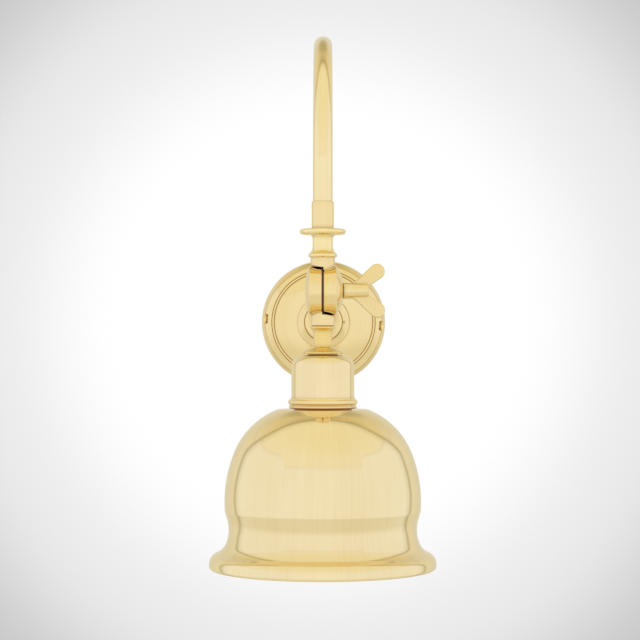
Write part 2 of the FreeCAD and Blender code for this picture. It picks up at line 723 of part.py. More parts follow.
def arm_ferrule(doc):
    """Plain sleeve over the tube's end, with a small chamfer on top."""
    body = column_body(doc, "arm_ferrule", FERRULE_FOOT)
    return turned(body, [
        ("tube_dia / 2 + fixed_fit", "0"),
        ("ferrule_dia / 2", "0"),
        ("ferrule_dia / 2", "ferrule_height - 0.5"),
        ("ferrule_dia / 2 - 0.4", "ferrule_height"),
        ("tube_dia / 2 + fixed_fit", "ferrule_height"),
    ])


def drip_collar(doc):
    """Turned collar: lower ring, cove, and a wide disc with a round edge; the tube sits in its top."""
    body = column_body(doc, "drip_collar", STEM_TOP)
    waist, ring, edge = "drip_waist_dia / 2", "drip_ring_dia / 2", "drip_edge / 2"
    disc_inner = f"(drip_dia / 2 - {edge})"
    disc_low = "(drip_height - drip_edge)"
    lower_cove = upright_radius(f"({ring} - {waist})", "(drip_waist_height - drip_ring_height)")
    return turned(body, [
        ("flex_bore_dia / 2", "-spigot_height"),
        ("drip_spigot_dia / 2", "-spigot_height"),
        ("drip_spigot_dia / 2", "0"),
        (f"{ring} * 0.97", "0"),
        (ring, "drip_ring_height", "drip_ring_height * 0.56", "left"),
        (waist, "drip_waist_height", lower_cove, "right"),
        (waist, f"{disc_low} - drip_cove"),
        (f"{waist} + drip_cove", disc_low, "drip_cove", "right"),
        (disc_inner, disc_low),
        ("drip_dia / 2", f"{disc_low} + {edge}", edge, "left"),
        (disc_inner, "drip_height", edge, "left"),
        ("tube_dia / 2 + fixed_fit", "drip_height"),
        ("tube_dia / 2 + fixed_fit", "drip_height - socket_depth"),
        ("flex_bore_dia / 2", "drip_height - socket_depth"),
    ])


# ---------------------------------------------------------------------------------------------------
# Knuckle: two half-lapped drums on one stud, clamped by the wing nut
# ---------------------------------------------------------------------------------------------------
def knuckle_half(body, stem_dia, stem_height, spigot_dia, outer_face):
    """One half: a stem up the Z axis, and a drum round the X axis on its +X side.

    The stem's other side is cut to a ring that clears the drum of the other half. A ring-shaped
    recess in the drum's flat face and an offset hole let the flex through.
    """
    stem = sketch_on(body, "stem", "XY_Plane", lift="wire_recess_outer / 2 + 0.5")
    circle(stem, stem_dia)
    pad(body, stem, f"{SHOULDER} + {stem_height} - wire_recess_outer / 2 - 0.5")
    clearing = sketch_on(body, "clearing", "YZ_Plane", lift=LAP)
    circle(clearing, f"2 * {SHOULDER}")
    pocket(body, clearing, f"{stem_dia}")
    drum = sketch_on(body, "drum", "XZ_Plane")
    rim = "ear_dia / 2"
    outline(drum, outer_face + [
        (LAP, "pivot_dia / 2 + running_fit"),
        (LAP, "wire_recess_inner / 2"),
        (f"{LAP} + wire_recess_depth", "wire_recess_inner / 2"),
        (f"{LAP} + wire_recess_depth", "wire_recess_outer / 2"),
        (LAP, "wire_recess_outer / 2"),
        (LAP, f"{rim} - ear_edge"),
        (f"{LAP} + ear_edge", rim),
        (f"{LAP} + ear_width - 2 * ear_edge", rim),
        (f"{LAP} + ear_width", f"{rim} - 2 * ear_edge", "2 * ear_edge", "right"),
        (f"{LAP} + ear_width", "dome_dia / 2"),
    ])
    revolve(body, drum, "H_Axis")
    socket = sketch_on(body, "socket", "XY_Plane", lift=f"{SHOULDER} + {stem_height}")
    circle(socket, f"{spigot_dia} + 2 * fixed_fit")
    pocket(body, socket, "spigot_height + 0.1")
    wire_way = sketch_on(body, "wire_way", "XY_Plane", lift=f"{SHOULDER} + {stem_height} - spigot_height")
    circle(wire_way, "wire_way_dia", "wire_way_offset", "0")
    pocket(body, wire_way, f"{SHOULDER} + {stem_height} - spigot_height - wire_recess_inner / 2 - 2")
    return body


def upper_knuckle(doc):
    """Upper half, fixed under the drip collar. The stud runs through it; its dome takes the washer."""
    body = column_body(doc, "upper_knuckle", "pivot_height")
    face = [
        (DOME_FACE, "right_dome_face_dia / 2", "right_dome_radius", "right"),
        (DOME_FACE, "pivot_dia / 2 + running_fit"),
    ]
    return knuckle_half(body, "upper_stem_dia", "upper_stem_height", "drip_spigot_dia", face)


def lower_knuckle(doc):
    """Lower half, the same form turned over. The stud is fixed in its blind hole."""
    body = body_at(doc, "lower_knuckle", y=FRONT, z="pivot_height",
                   axis=FreeCAD.Vector(0, 1, 0), angle="180")
    outside = f"({LAP} + ear_width + left_dome_height)"
    face = [
        (outside, "left_dome_face_dia / 2", "left_dome_radius", "right"),
        (outside, "0"),
        (f"{LAP} + pivot_hold", "0"),
        (f"{LAP} + pivot_hold", "pivot_dia / 2 + running_fit"),
    ]
    return knuckle_half(body, "lower_stem_dia", "lower_stem_height", "neck_spigot_dia", face)


def pivot_stud(doc):
    """Threaded stud along X: fixed in the lower half, running in the upper half."""
    body = body_at(doc, "pivot_stud", y=FRONT, z="pivot_height")
    shank = sketch_on(body, "shank", "XZ_Plane")
    outline(shank, [
        (f"-{LAP} - pivot_hold + 2 * fixed_fit", "0"),
        ("pivot_end", "0"),
        ("pivot_end", "pivot_dia / 2 - 0.6"),
        ("pivot_end - 0.6", "pivot_dia / 2"),
        (f"-{LAP} - pivot_hold + 2 * fixed_fit", "pivot_dia / 2"),
    ])
    revolve(body, shank, "H_Axis")
    return body


def friction_washer(doc):
    """Fibre washer between the drums, out to their rims, with two long slots for the flex."""
    body = body_at(doc, "friction_washer", y=FRONT, z="pivot_height")
    ring = sketch_on(body, "ring", "YZ_Plane")
    circle(ring, "ear_dia - 2 * washer_inset", tag="outer")
    circle(ring, "pivot_dia + 4 * running_fit", tag="inner")
    pad(body, ring, "lap_gap - 2 * washer_play", midplane=True)
    slot = sketch_on(body, "slot", "YZ_Plane")
    inner, outer, turn = "(wire_recess_inner / 2)", "(wire_recess_outer / 2)", "(washer_slot_turn / 2)"
    outline(slot, [
        (f"{inner} * cos({turn})", f"-{inner} * sin({turn})", inner, "right"),
        (f"{outer} * cos({turn})", f"-{outer} * sin({turn})"),
        (f"{outer} * cos({turn})", f"{outer} * sin({turn})", outer, "left"),
        (f"{inner} * cos({turn})", f"{inner} * sin({turn})"),
    ])
    cut = pocket(body, slot, "2 * lap_gap", midplane=True)
    around(body, cut, "X_Axis", 2)
    return body


def pressure_washer(doc):
    """Dished spring washer between the dome's face and the wing nut."""
    body = body_at(doc, "pressure_washer", x=f"{DOME_FACE} + washer_play", y=FRONT, z="pivot_height")
    ring = sketch_on(body, "ring", "XZ_Plane")
    inner, outer = "pivot_dia / 2 + 2 * running_fit", "pressure_washer_dia / 2"
    outline(ring, [
        ("pressure_washer_thick * 0.45", inner),
        ("pressure_washer_thick", inner),
        ("pressure_washer_thick * 0.55", outer),
        ("0", outer),
    ])
    revolve(body, ring, "H_Axis")
    return body


def wing_nut(doc):
    """Cast wing nut: a tapered hub with a threaded bore and two flared paddles."""
    body = body_at(doc, "wing_nut", x=HUB_BASE, y=FRONT, z="pivot_height",
                   axis=FreeCAD.Vector(1, 0, 0), angle="wing_rest_angle")
    wings = sketch_on(body, "wings", "XZ_Plane")
    tip_x = "(wing_reach - wing_tip_radius)"
    tip_z = "(wing_span / 2 - wing_tip_radius)"
    slope_x = f"({tip_x} + wing_tip_radius * cos(135))"
    slope_z = f"({tip_z} + wing_tip_radius * sin(135))"
    heel_x = f"({tip_x} + wing_tip_radius * cos(-55))"
    heel_z = f"({tip_z} + wing_tip_radius * sin(-55))"
    half = [
        ("wing_root_start", "hub_end_dia * 0.45"),
        (f"{slope_x} - wing_slope", f"{slope_z} - wing_slope", "wing_root_radius", "left"),
        (slope_x, slope_z),
        (f"{tip_x} + wing_tip_radius * cos(40)", f"{tip_z} + wing_tip_radius * sin(40)", "wing_tip_radius", "right"),
        (heel_x, heel_z, "wing_tip_radius", "right"),
        (f"{heel_x} - wing_heel * sin(55)", f"{heel_z} - wing_heel * cos(55)"),
    ]
    lower = []
    for index in range(len(half) - 1, -1, -1):
        x_text, z_text = half[index][:2]
        arriving = half[index + 1] if index + 1 < len(half) else ()
        lower.append((x_text, f"-({z_text})") + tuple(arriving[2:]))
    outline(wings, half + lower)
    paddles = pad(body, wings, "wing_thick", midplane=True)
    doc.recompute()
    flat_edges = []
    for index, edge in enumerate(paddles.Shape.Edges, start=1):
        ends = edge.BoundBox
        if ends.YMax - ends.YMin < 1e-6:
            flat_edges.append(f"Edge{index}")
    rounding = body.newObject("PartDesign::Fillet", "wing_nut_rounding")
    rounding.Base = (paddles, flat_edges)
    rounding.setExpression("Radius", cells("wing_edge"))
    body.Tip = rounding
    hub = sketch_on(body, "hub", "XZ_Plane")
    outline(hub, [
        ("0", "0"),
        ("0", "hub_dia / 2"),
        ("hub_length - hub_round", "hub_end_dia / 2"),
        ("hub_length", "hub_end_dia / 2 - hub_round", "hub_round", "right"),
        ("hub_length", "0"),
    ])
    revolve(body, hub, "H_Axis")
    bore = sketch_on(body, "bore", "YZ_Plane")
    circle(bore, "pivot_dia + 2 * running_fit")
    pocket(body, bore, "wing_reach * 2", forward=True)
    return body


# ---------------------------------------------------------------------------------------------------
# Neck collar, cup, gallery and shade
# ---------------------------------------------------------------------------------------------------
def neck_collar(doc):
    """Turned collar under the knuckle: ring, cove, neck, and a low domed cap that the cup hangs from."""
    body = column_body(doc, "neck_collar", NECK_TOP)
    neck = "neck_dia / 2"
    ring = "neck_ring_dia / 2"
    ring_low = "(neck_ring_top + neck_ring_thick)"
    cap_top = "(neck_height - neck_cap_edge - neck_cap_rise)"
    cove_radius = upright_radius(f"({ring} - 0.3 - {neck})", "neck_cove")
    return turned(body, [
        ("flex_bore_dia / 2", "spigot_height"),
        ("flex_bore_dia / 2", "-neck_height + nipple_entry - neck_seat"),
        ("nipple_dia / 2 + fixed_fit", "-neck_height + nipple_entry - neck_seat"),
        ("nipple_dia / 2 + fixed_fit", "-neck_height - neck_seat"),
        ("neck_seat_dia / 2", "-neck_height - neck_seat"),
        ("neck_seat_dia / 2", "-neck_height"),
        ("neck_cap_dia / 2", "-neck_height"),
        ("neck_cap_dia / 2", "-neck_height + neck_cap_edge"),
        (f"{neck} + neck_fillet", f"-{cap_top} - 0.4", "14", "left"),
        (neck, f"-{cap_top} + neck_fillet - 0.4", "neck_fillet", "right"),
        (neck, f"-{ring_low} - neck_cove"),
        (f"{ring} - 0.3", f"-{ring_low}", cove_radius, "right"),
        (f"{ring} - 0.3", "-neck_ring_top", "neck_ring_thick * 0.6", "left"),
        (f"{ring} - 1.2", "-neck_ring_top"),
        (f"{ring} - 1.2", "0"),
        ("neck_spigot_dia / 2", "0"),
        ("neck_spigot_dia / 2", "spigot_height"),
    ])


def threaded_nipple(doc):
    """Hollow nipple through the neck collar, the cup's top and the lampholder's cap."""
    body = column_body(doc, "threaded_nipple", f"{HOLDER_TOP} - nipple_hold")
    length = f"({CUP_TOP} - {HOLDER_TOP} + nipple_entry + nipple_hold)"
    return turned(body, [
        ("nipple_bore / 2", "0"),
        ("nipple_dia / 2", "0"),
        ("nipple_dia / 2", f"{length} - 0.1"),
        ("nipple_bore / 2", f"{length} - 0.1"),
    ])


def nipple_locknut(doc):
    """Thin hexagon nut that holds the cup up against the neck collar."""
    body = column_body(doc, "nipple_locknut", f"{CUP_TOP} - cup_wall - locknut_thick")
    hexagonal = sketch_on(body, "hexagon", "XY_Plane")
    hexagon(hexagonal, "locknut_flats")
    circle(hexagonal, "nipple_dia + 2 * fixed_fit", tag="bore")
    pad(body, hexagonal, "locknut_thick")
    return body


def cover_cup(doc):
    """Spun cup with a round shoulder, open below."""
    body = column_body(doc, "cover_cup", CUP_TOP)
    outer, inner = "cup_dia / 2", "(cup_dia / 2 - cup_wall)"
    hole = "nipple_dia / 2 + 3 * fixed_fit"
    return turned(body, [
        (hole, "0"),
        (hole, "-cup_wall"),
        (f"{outer} - cup_shoulder", "-cup_wall"),
        (inner, "-cup_shoulder", "cup_shoulder - cup_wall", "right"),
        (inner, f"-{CUP_HEIGHT}"),
        (outer, f"-{CUP_HEIGHT}"),
        (outer, "-cup_shoulder"),
        (f"{outer} - cup_shoulder", "0", "cup_shoulder", "left"),
    ])


def gallery_ring(doc):
    """Ring at the cup's mouth: foot on the crown, flange, groove, bead, and a shelf for the cup."""
    body = column_body(doc, "gallery_ring", CROWN)
    hole = "skirt_dia / 2 + 2 * fixed_fit"
    flange, bead = "gallery_flange_dia / 2", "gallery_bead_dia / 2"
    flange_top = "(gallery_foot_height + gallery_flange_height)"
    bead_top = f"({flange_top} + 0.7 + gallery_bead_height)"
    seat = "cup_dia / 2 + fixed_fit"
    return turned(body, [
        (hole, "0"),
        ("gallery_foot_dia / 2", "0"),
        ("gallery_foot_dia / 2", "gallery_foot_height"),
        (flange, "gallery_foot_height"),
        (flange, flange_top, "gallery_flange_height * 0.62", "left"),
        (f"{flange} - 0.2", f"{flange_top} + 0.4"),
        (bead, f"{flange_top} + 0.7"),
        (bead, bead_top, "gallery_bead_height * 0.6", "left"),
        ("cup_dia / 2 + 0.4", "gallery_height", "2.2", "right"),
        (seat, "gallery_height"),
        (seat, "gallery_shelf"),
        ("cup_dia / 2 - 1.4 * cup_wall", "gallery_shelf"),
        ("cup_dia / 2 - 1.4 * cup_wall", "gallery_plate"),
        (hole, "gallery_plate"),
    ])


def bell_shade(doc):
    """Spun bell: flat crown, round shoulder, belly, small step, waist, and a flared lip with a hem.

    The side arc stands upright at the belly. The shoulder arc starts at the crown's edge and continues
    it, so both have the same tangent where they meet. The arcs at the waist stand upright there. The
    inner outline follows the outer one at the wall's thickness.
    """
    body = column_body(doc, "bell_shade", CROWN)
    belly = "-crown_height"
    side_x = "(belly_dia / 2 - side_radius)"
    reach_x, offset = f"(crown_dia / 2 - {side_x})", "(side_radius - shoulder_radius)"
    reach = f"sqrt({reach_x}^2 + crown_height^2)"
    cosine = f"(({reach_x}^2 + crown_height^2 + {offset}^2 - shoulder_radius^2) / (2 * {offset} * {reach}))"
    join_angle = f"(atan(crown_height / {reach_x}) - acos({cosine}))"
    shoulder_x = f"({side_x} + {offset} * cos({join_angle}))"
    shoulder_z = f"(-crown_height + {offset} * sin({join_angle}))"
    join_x = f"({side_x} + side_radius * cos({join_angle}))"
    join_z = f"(-crown_height + side_radius * sin({join_angle}))"
    inner_join_x = f"({side_x} + (side_radius - shade_wall) * cos({join_angle}))"
    inner_join_z = f"(-crown_height + (side_radius - shade_wall) * sin({join_angle}))"
    inner_crown_edge = f"({shoulder_x} + sqrt((shoulder_radius - shade_wall)^2 - ({shoulder_z} + shade_wall)^2))"
    step_z = "(-crown_height - belly_drop)"
    step_x = f"({side_x} + sqrt(side_radius^2 - belly_drop^2))"
    groove_x, groove_z = f"({step_x} - step_width)", f"({step_z} - step_height)"
    waist_x, waist_z = "(belly_dia / 2 - waist_inset)", "(-crown_height - waist_drop)"
    lip = "lip_dia / 2"
    flare_x, flare_z = f"({lip} - lip_overhang)", f"({waist_z} - flare_drop)"
    turn_z = f"({flare_z} - lip_turn_drop)"
    band_z = f"({turn_z} - lip_band)"
    edge_z = f"({band_z} - lip_roll)"
    upper_radius = upright_radius(f"({groove_x} - {waist_x})", f"({groove_z} - {waist_z})")
    lower_radius = upright_radius(f"({flare_x} - {waist_x})", "flare_drop")
    lip_radius = upright_radius("lip_overhang", "lip_turn_drop")
    slope_x = f"(1 - ({flare_x} - {waist_x}) / {lower_radius})"
    slope_z = f"(flare_drop / {lower_radius})"
    hem = f"({lip} - shade_wall - hem_width)"
    hole = "skirt_dia / 2 + 3 * fixed_fit"
    return turned(body, [
        (hole, "0"),
        (hole, "-shade_wall"),
        (inner_crown_edge, "-shade_wall"),
        (inner_join_x, inner_join_z, "shoulder_radius - shade_wall", "right"),
        ("belly_dia / 2 - shade_wall", belly, "side_radius - shade_wall", "right"),
        (f"{step_x} - shade_wall", step_z, "side_radius - shade_wall", "right"),
        (f"{groove_x} - shade_wall", groove_z),
        (f"{waist_x} - shade_wall", waist_z, f"{upper_radius} + shade_wall", "left"),
        (f"{flare_x} - shade_wall * {slope_x}", f"{flare_z} - shade_wall * {slope_z}",
         f"{lower_radius} + shade_wall", "left"),
        (f"{lip} - shade_wall", turn_z, f"{lip_radius} - shade_wall", "right"),
        (f"{lip} - shade_wall", f"{band_z} + hem_height - 0.5 * shade_wall"),
        (hem, f"{band_z} + hem_height - 1.2 * shade_wall"),
        (hem, f"{edge_z} + hem_round"),
        (f"{hem} + hem_round", edge_z),
        (f"{lip} - lip_roll", edge_z),
        (lip, band_z, "lip_roll", "left"),
        (lip, turn_z),
        (flare_x, flare_z, lip_radius, "left"),
        (waist_x, waist_z, lower_radius, "right"),
        (groove_x, groove_z, upper_radius, "right"),
        (step_x, step_z),
        ("belly_dia / 2", belly, "side_radius", "left"),
        (join_x, join_z, "side_radius", "left"),
        ("crown_dia / 2", "0", "shoulder_radius", "left"),
    ])


# ---------------------------------------------------------------------------------------------------
# Lampholder
# ---------------------------------------------------------------------------------------------------
SKIRT_BORE = "(skirt_dia / 2 - skirt_wall)"
BARREL = "(socket_dia / 2 + barrel_wall)"
BARREL_TOP = "(skirt_rise + barrel_flange_thick)"
INSULATOR_TOP = "(insulator_face + insulator_height)"
CHAMBER_LOW = "(insulator_face + plunger_guide)"
CHAMBER_TOP = f"({CHAMBER_LOW} + chamber_height)"


def lampholder_skirt(doc):
    """Sleeve round the barrel, threaded for the shade ring, with a shoulder on the gallery's plate."""
    body = column_body(doc, "lampholder_skirt", CROWN)
    outer, shoulder = "skirt_dia / 2", "skirt_shoulder_dia / 2"
    shoulder_top = "(gallery_plate + skirt_shoulder_thick)"
    return turned(body, [
        (SKIRT_BORE, "-skirt_drop"),
        (outer, "-skirt_drop"),
        (outer, "gallery_plate"),
        (shoulder, "gallery_plate"),
        (shoulder, shoulder_top),
        (outer, shoulder_top),
        (outer, "skirt_rise"),
        (f"{BARREL} + fixed_fit", "skirt_rise"),
        (f"{BARREL} + fixed_fit", "skirt_rise - skirt_wall * 1.6"),
        (SKIRT_BORE, "skirt_rise - skirt_wall * 1.6"),
    ])


def lampholder_barrel(doc):
    """Bayonet barrel: a tube with two J-shaped slots and a flange on the skirt's top."""
    body = column_body(doc, "lampholder_barrel", CROWN)
    turned(body, [
        ("socket_dia / 2", "-barrel_drop"),
        (BARREL, "-barrel_drop"),
        (BARREL, "skirt_rise"),
        (f"{SKIRT_BORE}", "skirt_rise"),
        (f"{SKIRT_BORE}", BARREL_TOP),
        ("socket_dia / 2", BARREL_TOP),
    ])
    entry = sketch_on(body, "entry", "XZ_Plane")
    rectangle(entry, "-slot_width / 2", "slot_width / 2", "-barrel_drop - 1", "-barrel_drop + slot_length")
    pocket(body, entry, "3 * socket_dia", midplane=True)
    shift = f"({BARREL} * sin(slot_turn))"
    low = "-barrel_drop + slot_length - slot_width"
    for sign, forward, tag in (("", False, "front"), ("-", True, "back")):
        hook = sketch_on(body, f"{tag}_hook", "XZ_Plane")
        near, far = f"{sign}{shift}", "0"
        left, right = (far, near) if sign == "" else (near, far)
        across = f"{left} - slot_width / 2" if sign else left
        beyond = right if sign else f"{right} + slot_width / 2"
        outline(hook, [
            (across, low),
            (beyond, low),
            (beyond, "-barrel_drop + slot_length"),
            (across, "-barrel_drop + slot_length"),
        ])
        pocket(body, hook, "socket_dia", forward=forward)
        seat = sketch_on(body, f"{tag}_seat", "XZ_Plane")
        rectangle(seat, f"{near} - slot_width / 2", f"{near} + slot_width / 2", f"{low} - slot_hook", f"{low} + 0.4")
        pocket(body, seat, "socket_dia", forward=forward)
    return body


def lampholder_cap(doc):
    """Domed cap of the lampholder, screwed on the nipple."""
    body = column_body(doc, "lampholder_cap", CROWN)
    inner = "(skirt_dia / 2 + fixed_fit)"
    outer = f"({inner} + holder_cap_wall)"
    top = "(holder_rim + holder_cap_height)"
    dome = f"({top} - holder_boss_height)"
    return turned(body, [
        (inner, "holder_rim"),
        (outer, "holder_rim"),
        (outer, f"{dome} - holder_cap_round"),
        (f"{outer} - holder_cap_round", dome, "holder_cap_round", "left"),
        ("holder_boss_dia / 2", dome),
        ("holder_boss_dia / 2", top),
        ("nipple_dia / 2 + fixed_fit", top),
        ("nipple_dia / 2 + fixed_fit", f"{dome} - holder_cap_wall"),
        (f"{outer} - holder_cap_round", f"{dome} - holder_cap_wall"),
        (inner, f"{dome} - holder_cap_round", "holder_cap_round - holder_cap_wall", "right"),
    ])


def lampholder_insulator(doc):
    """Porcelain block: plunger guides below, spring chambers, and seats for the terminal posts."""
    body = column_body(doc, "lampholder_insulator", CROWN)
    turned(body, [
        ("0", "insulator_face"),
        ("socket_dia / 2 - 2 * fixed_fit", "insulator_face"),
        ("socket_dia / 2 - 2 * fixed_fit", BARREL_TOP),
        ("insulator_dia / 2", BARREL_TOP),
        ("insulator_dia / 2", f"{INSULATOR_TOP} - 1"),
        ("insulator_dia / 2 - 1", INSULATOR_TOP),
        ("0", INSULATOR_TOP),
    ])
    steps = (
        ("guide", "insulator_face", "plunger_dia + 2 * running_fit", "2 * plunger_guide"),
        ("chamber", CHAMBER_LOW, "plunger_head_dia + 4 * running_fit", "chamber_height"),
        ("seat", CHAMBER_TOP, "post_dia + 2 * fixed_fit", "insulator_height"),
    )
    for side, sign in (("left", "-"), ("right", "")):
        for tag, level, width, depth in steps:
            bore = sketch_on(body, f"{side}_{tag}", "XY_Plane", lift=level)
            circle(bore, width, f"{sign}plunger_offset", "0")
            pocket(body, bore, depth, forward=True)
    return body


def holder_terminals(doc):
    """Two brass posts in the insulator, each above a plunger's spring."""
    body = column_body(doc, "holder_terminals", f"{CROWN} + {CHAMBER_TOP}")
    body.AllowCompound = True
    posts = sketch_on(body, "posts", "XY_Plane")
    circle(posts, "post_dia", "-plunger_offset", "0", tag="left")
    circle(posts, "post_dia", "plunger_offset", "0", tag="right")
    pad(body, posts, "post_height")
    taps = sketch_on(body, "taps", "XY_Plane", lift="post_height")
    circle(taps, "post_screw_dia + 2 * fixed_fit", "-plunger_offset", "0", tag="left")
    circle(taps, "post_screw_dia + 2 * fixed_fit", "plunger_offset", "0", tag="right")
    pocket(body, taps, "post_height * 0.7")
    return body


def holder_terminal_screws(doc):
    """The two terminal screws, one in each post."""
    body = column_body(doc, "holder_terminal_screws", f"{CROWN} + {CHAMBER_TOP} + post_height")
    body.AllowCompound = True
    shanks = sketch_on(body, "shanks", "XY_Plane")
    circle(shanks, "post_screw_dia", "-plunger_offset", "0", tag="left")
    circle(shanks, "post_screw_dia", "plunger_offset", "0", tag="right")
    pad(body, shanks, "post_height * 0.6", backward=True)
    heads = sketch_on(body, "heads", "XY_Plane")
    circle(heads, "post_head_dia", "-plunger_offset", "0", tag="left")
    circle(heads, "post_head_dia", "plunger_offset", "0", tag="right")
    pad(body, heads, "post_head_height")
    slots = sketch_on(body, "slots", "XY_Plane", lift="post_head_height")
    rectangle(slots, "-plunger_offset - post_head_dia", "plunger_offset + post_head_dia", "-0.3", "0.3")
    pocket(body, slots, "0.7")
    return body


def contact_plunger(doc, side, sign):
    """Sprung contact pin: head in its chamber, round tip below the insulator."""
    body = body_at(doc, f"contact_plunger_{side}", x=f"{sign}plunger_offset", y=FRONT,
                   z=f"{CROWN} + {CHAMBER_LOW}")
    tip = "(plunger_guide + plunger_reach)"
    return turned(body, [
        ("0", f"-{tip}"),
        ("plunger_dia / 2", f"-{tip} + 1.4", "plunger_dia * 0.62", "left"),
        ("plunger_dia / 2", "0"),
        ("plunger_head_dia / 2", "0"),
        ("plunger_head_dia / 2", "plunger_head_height"),
        ("0", "plunger_head_height"),
    ])


def plunger_spring(doc, side, sign):
    """Coil spring between the plunger's head and the terminal post."""
    name = f"plunger_spring_{side}"
    length = "(chamber_height - plunger_head_height)"
    helix = doc.addObject("Part::Helix", f"{name}_helix")
    helix.setExpression("Radius", cells("spring_dia / 2"))
    helix.setExpression("Height", cells(f"{length} - spring_wire - 2 * fixed_fit"))
    helix.setExpression("Pitch", cells(f"({length} - spring_wire - 2 * fixed_fit) / spring_turns"))
    wire = doc.addObject("Part::Circle", f"{name}_wire")
    wire.setExpression("Radius", cells("spring_wire / 2"))
    wire.Placement = FreeCAD.Placement(FreeCAD.Vector(0, 0, 0), FreeCAD.Rotation(FreeCAD.Vector(1, 0, 0), 90))
    wire.setExpression("Placement.Base.x", cells("spring_dia / 2"))
    coil = doc.addObject("Part::Sweep", name)
    coil.Label = name
    coil.Sections = [wire]
    coil.Spine = (helix, ["Edge1"])
    coil.Solid = True
    coil.Frenet = True
    place(coil, f"{sign}plunger_offset", FRONT,
          f"{CROWN} + {CHAMBER_LOW} + plunger_head_height + spring_wire / 2 + fixed_fit")
    return coil


def shade_ring(doc):
    """Ring on the skirt's thread that clamps the shade from below, with finger notches in its flange."""
    body = column_body(doc, "shade_ring", f"{CROWN} - shade_wall")
    bore = "skirt_dia / 2 + fixed_fit"
    turned(body, [
        (bore, "0"),
        (bore, "-shade_ring_height"),
        ("shade_ring_body_dia / 2 - 0.6", "-shade_ring_height"),
        ("shade_ring_body_dia / 2", "-shade_ring_height + 0.6"),
        ("shade_ring_body_dia / 2", "-shade_ring_flange"),
        ("shade_ring_dia / 2", "-shade_ring_flange"),
        ("shade_ring_dia / 2", "0"),
    ])
    notch = sketch_on(body, "notch", "XY_Plane")
    circle(notch, "shade_ring_notch_dia", "shade_ring_dia / 2 + 0.6", "0")
    cut = pocket(body, notch, "shade_ring_flange")
    around(body, cut, "Z_Axis", int(number(doc, "shade_ring_notches")))
    return body


# ---------------------------------------------------------------------------------------------------
# Wiring held inside the metalwork
# ---------------------------------------------------------------------------------------------------
def compare_cord(name, shape, length, radius, bends):
    """Compare a cord's volume with its section times its length, and print its length and bends."""
    expected = math.pi * radius ** 2 * length
    if abs(shape.Volume - expected) > 0.01 * expected:
        raise RuntimeError(f"{name}: its volume differs from its section times its length")
    radii = ", ".join(f"{bend:.1f}" for bend in bends) or "none"
    print(f"{name}: {length:.1f} mm long, bend radii in mm: {radii}")


def supply_flex(doc):
    """Sheathed flex along the middle of the arm, from the rose to the knuckle's stem."""
    body = body_at(doc, "supply_flex")
    foot = f"({STEM_TOP} - spigot_height + 0.4)"
    spine = arm_spine(body, "spine", foot, f"({ARM_TAIL} - flex_proud)")
    section = sketch_on(body, "section", "XY_Plane")
    section.setExpression("AttachmentOffset.Base.y", cells(FRONT))
    section.setExpression("AttachmentOffset.Base.z", cells(foot))
    circle(section, "flex_dia")
    pipe = body.newObject("PartDesign::AdditivePipe", "supply_flex_pipe")
    pipe.Profile = section
    pipe.Spine = spine
    doc.recompute()
    bends = [number(doc, "arch_radius"), number(doc, "bend_radius")]
    compare_cord("supply_flex", body.Shape, spine.Shape.Length, number(doc, "flex_dia / 2"), bends)
    return body


def lamp_flex(doc):
    """Sheathed flex from the lower half's stem, through neck and nipple, into the lampholder."""
    low = f"({HOLDER_TOP} - nipple_hold - 1)"
    body = column_body(doc, "lamp_flex", low)
    run = sketch_on(body, "run", "XY_Plane")
    circle(run, "flex_dia")
    length = f"{NECK_TOP} + spigot_height - 0.4 - {low}"
    pad(body, run, length)
    doc.recompute()
    compare_cord("lamp_flex", body.Shape, number(doc, length), number(doc, "flex_dia / 2"), [])
    return body


def rounded_tube(points, radius):
    """A solid wire along straight runs joined by tangent arcs, each as large as its two runs allow."""
    edges, bends = [], []
    start = points[0]
    for index in range(1, len(points) - 1):
        into = points[index] - points[index - 1]
        out = points[index + 1] - points[index]
        shorter_run = min(into.Length, out.Length)
        into.normalize()
        out.normalize()
        half_turn = into.getAngle(out) / 2
        bend = 0.45 * shorter_run / math.tan(half_turn)
        first = points[index] - into * 0.45 * shorter_run
        last = points[index] + out * 0.45 * shorter_run
        inward = (out - into).normalize()
        middle = points[index] + inward * (bend / math.cos(half_turn) - bend)
        edges.append(Part.LineSegment(start, first).toShape())
        edges.append(Part.Arc(first, middle, last).toShape())
        bends.append(bend)
        start = last
    edges.append(Part.LineSegment(start, points[-1]).toShape())
    path = Part.Wire(edges)
    section = Part.Wire(Part.Circle(points[0], points[1] - points[0], radius).toShape())
    solid = path.makePipeShell([section], True, False)
    compare_cord("supply_cores", solid, path.Length, radius, bends)
    return solid


def supply_cores(doc):
    """The three cores from the flex's end to the terminal block: the outer two fan out, then turn in."""
    core = number(doc, "core_dia / 2")
    flex_end = -number(doc, f"{ARM_TAIL} - flex_proud")
    turn_y = -number(doc, "plate_thick + terminal_depth / 2")
    block_x = number(doc, "terminal_offset - terminal_width / 2")
    pitch = number(doc, "terminal_pitch")
    ring = number(doc, "flex_dia / 2 - core_dia / 2 - 0.3")
    solids = []
    for place_in_row in (-1, 0, 1):
        angle = math.radians(90 * place_in_row)
        start = FreeCAD.Vector(ring * math.cos(angle), flex_end, ring * math.sin(angle))
        points = [start, FreeCAD.Vector(start.x, turn_y, start.z)]
        if place_in_row:
            points.append(FreeCAD.Vector(block_x - 3, turn_y, place_in_row * pitch))
        points.append(FreeCAD.Vector(block_x + 2, turn_y, place_in_row * pitch))
        solids.append(rounded_tube(points, core))
    feature = doc.addObject("Part::Feature", "supply_cores")
    feature.Label = "supply_cores"
    feature.Shape = Part.makeCompound(solids)
    feature.Placement = FreeCAD.Placement()
    return feature


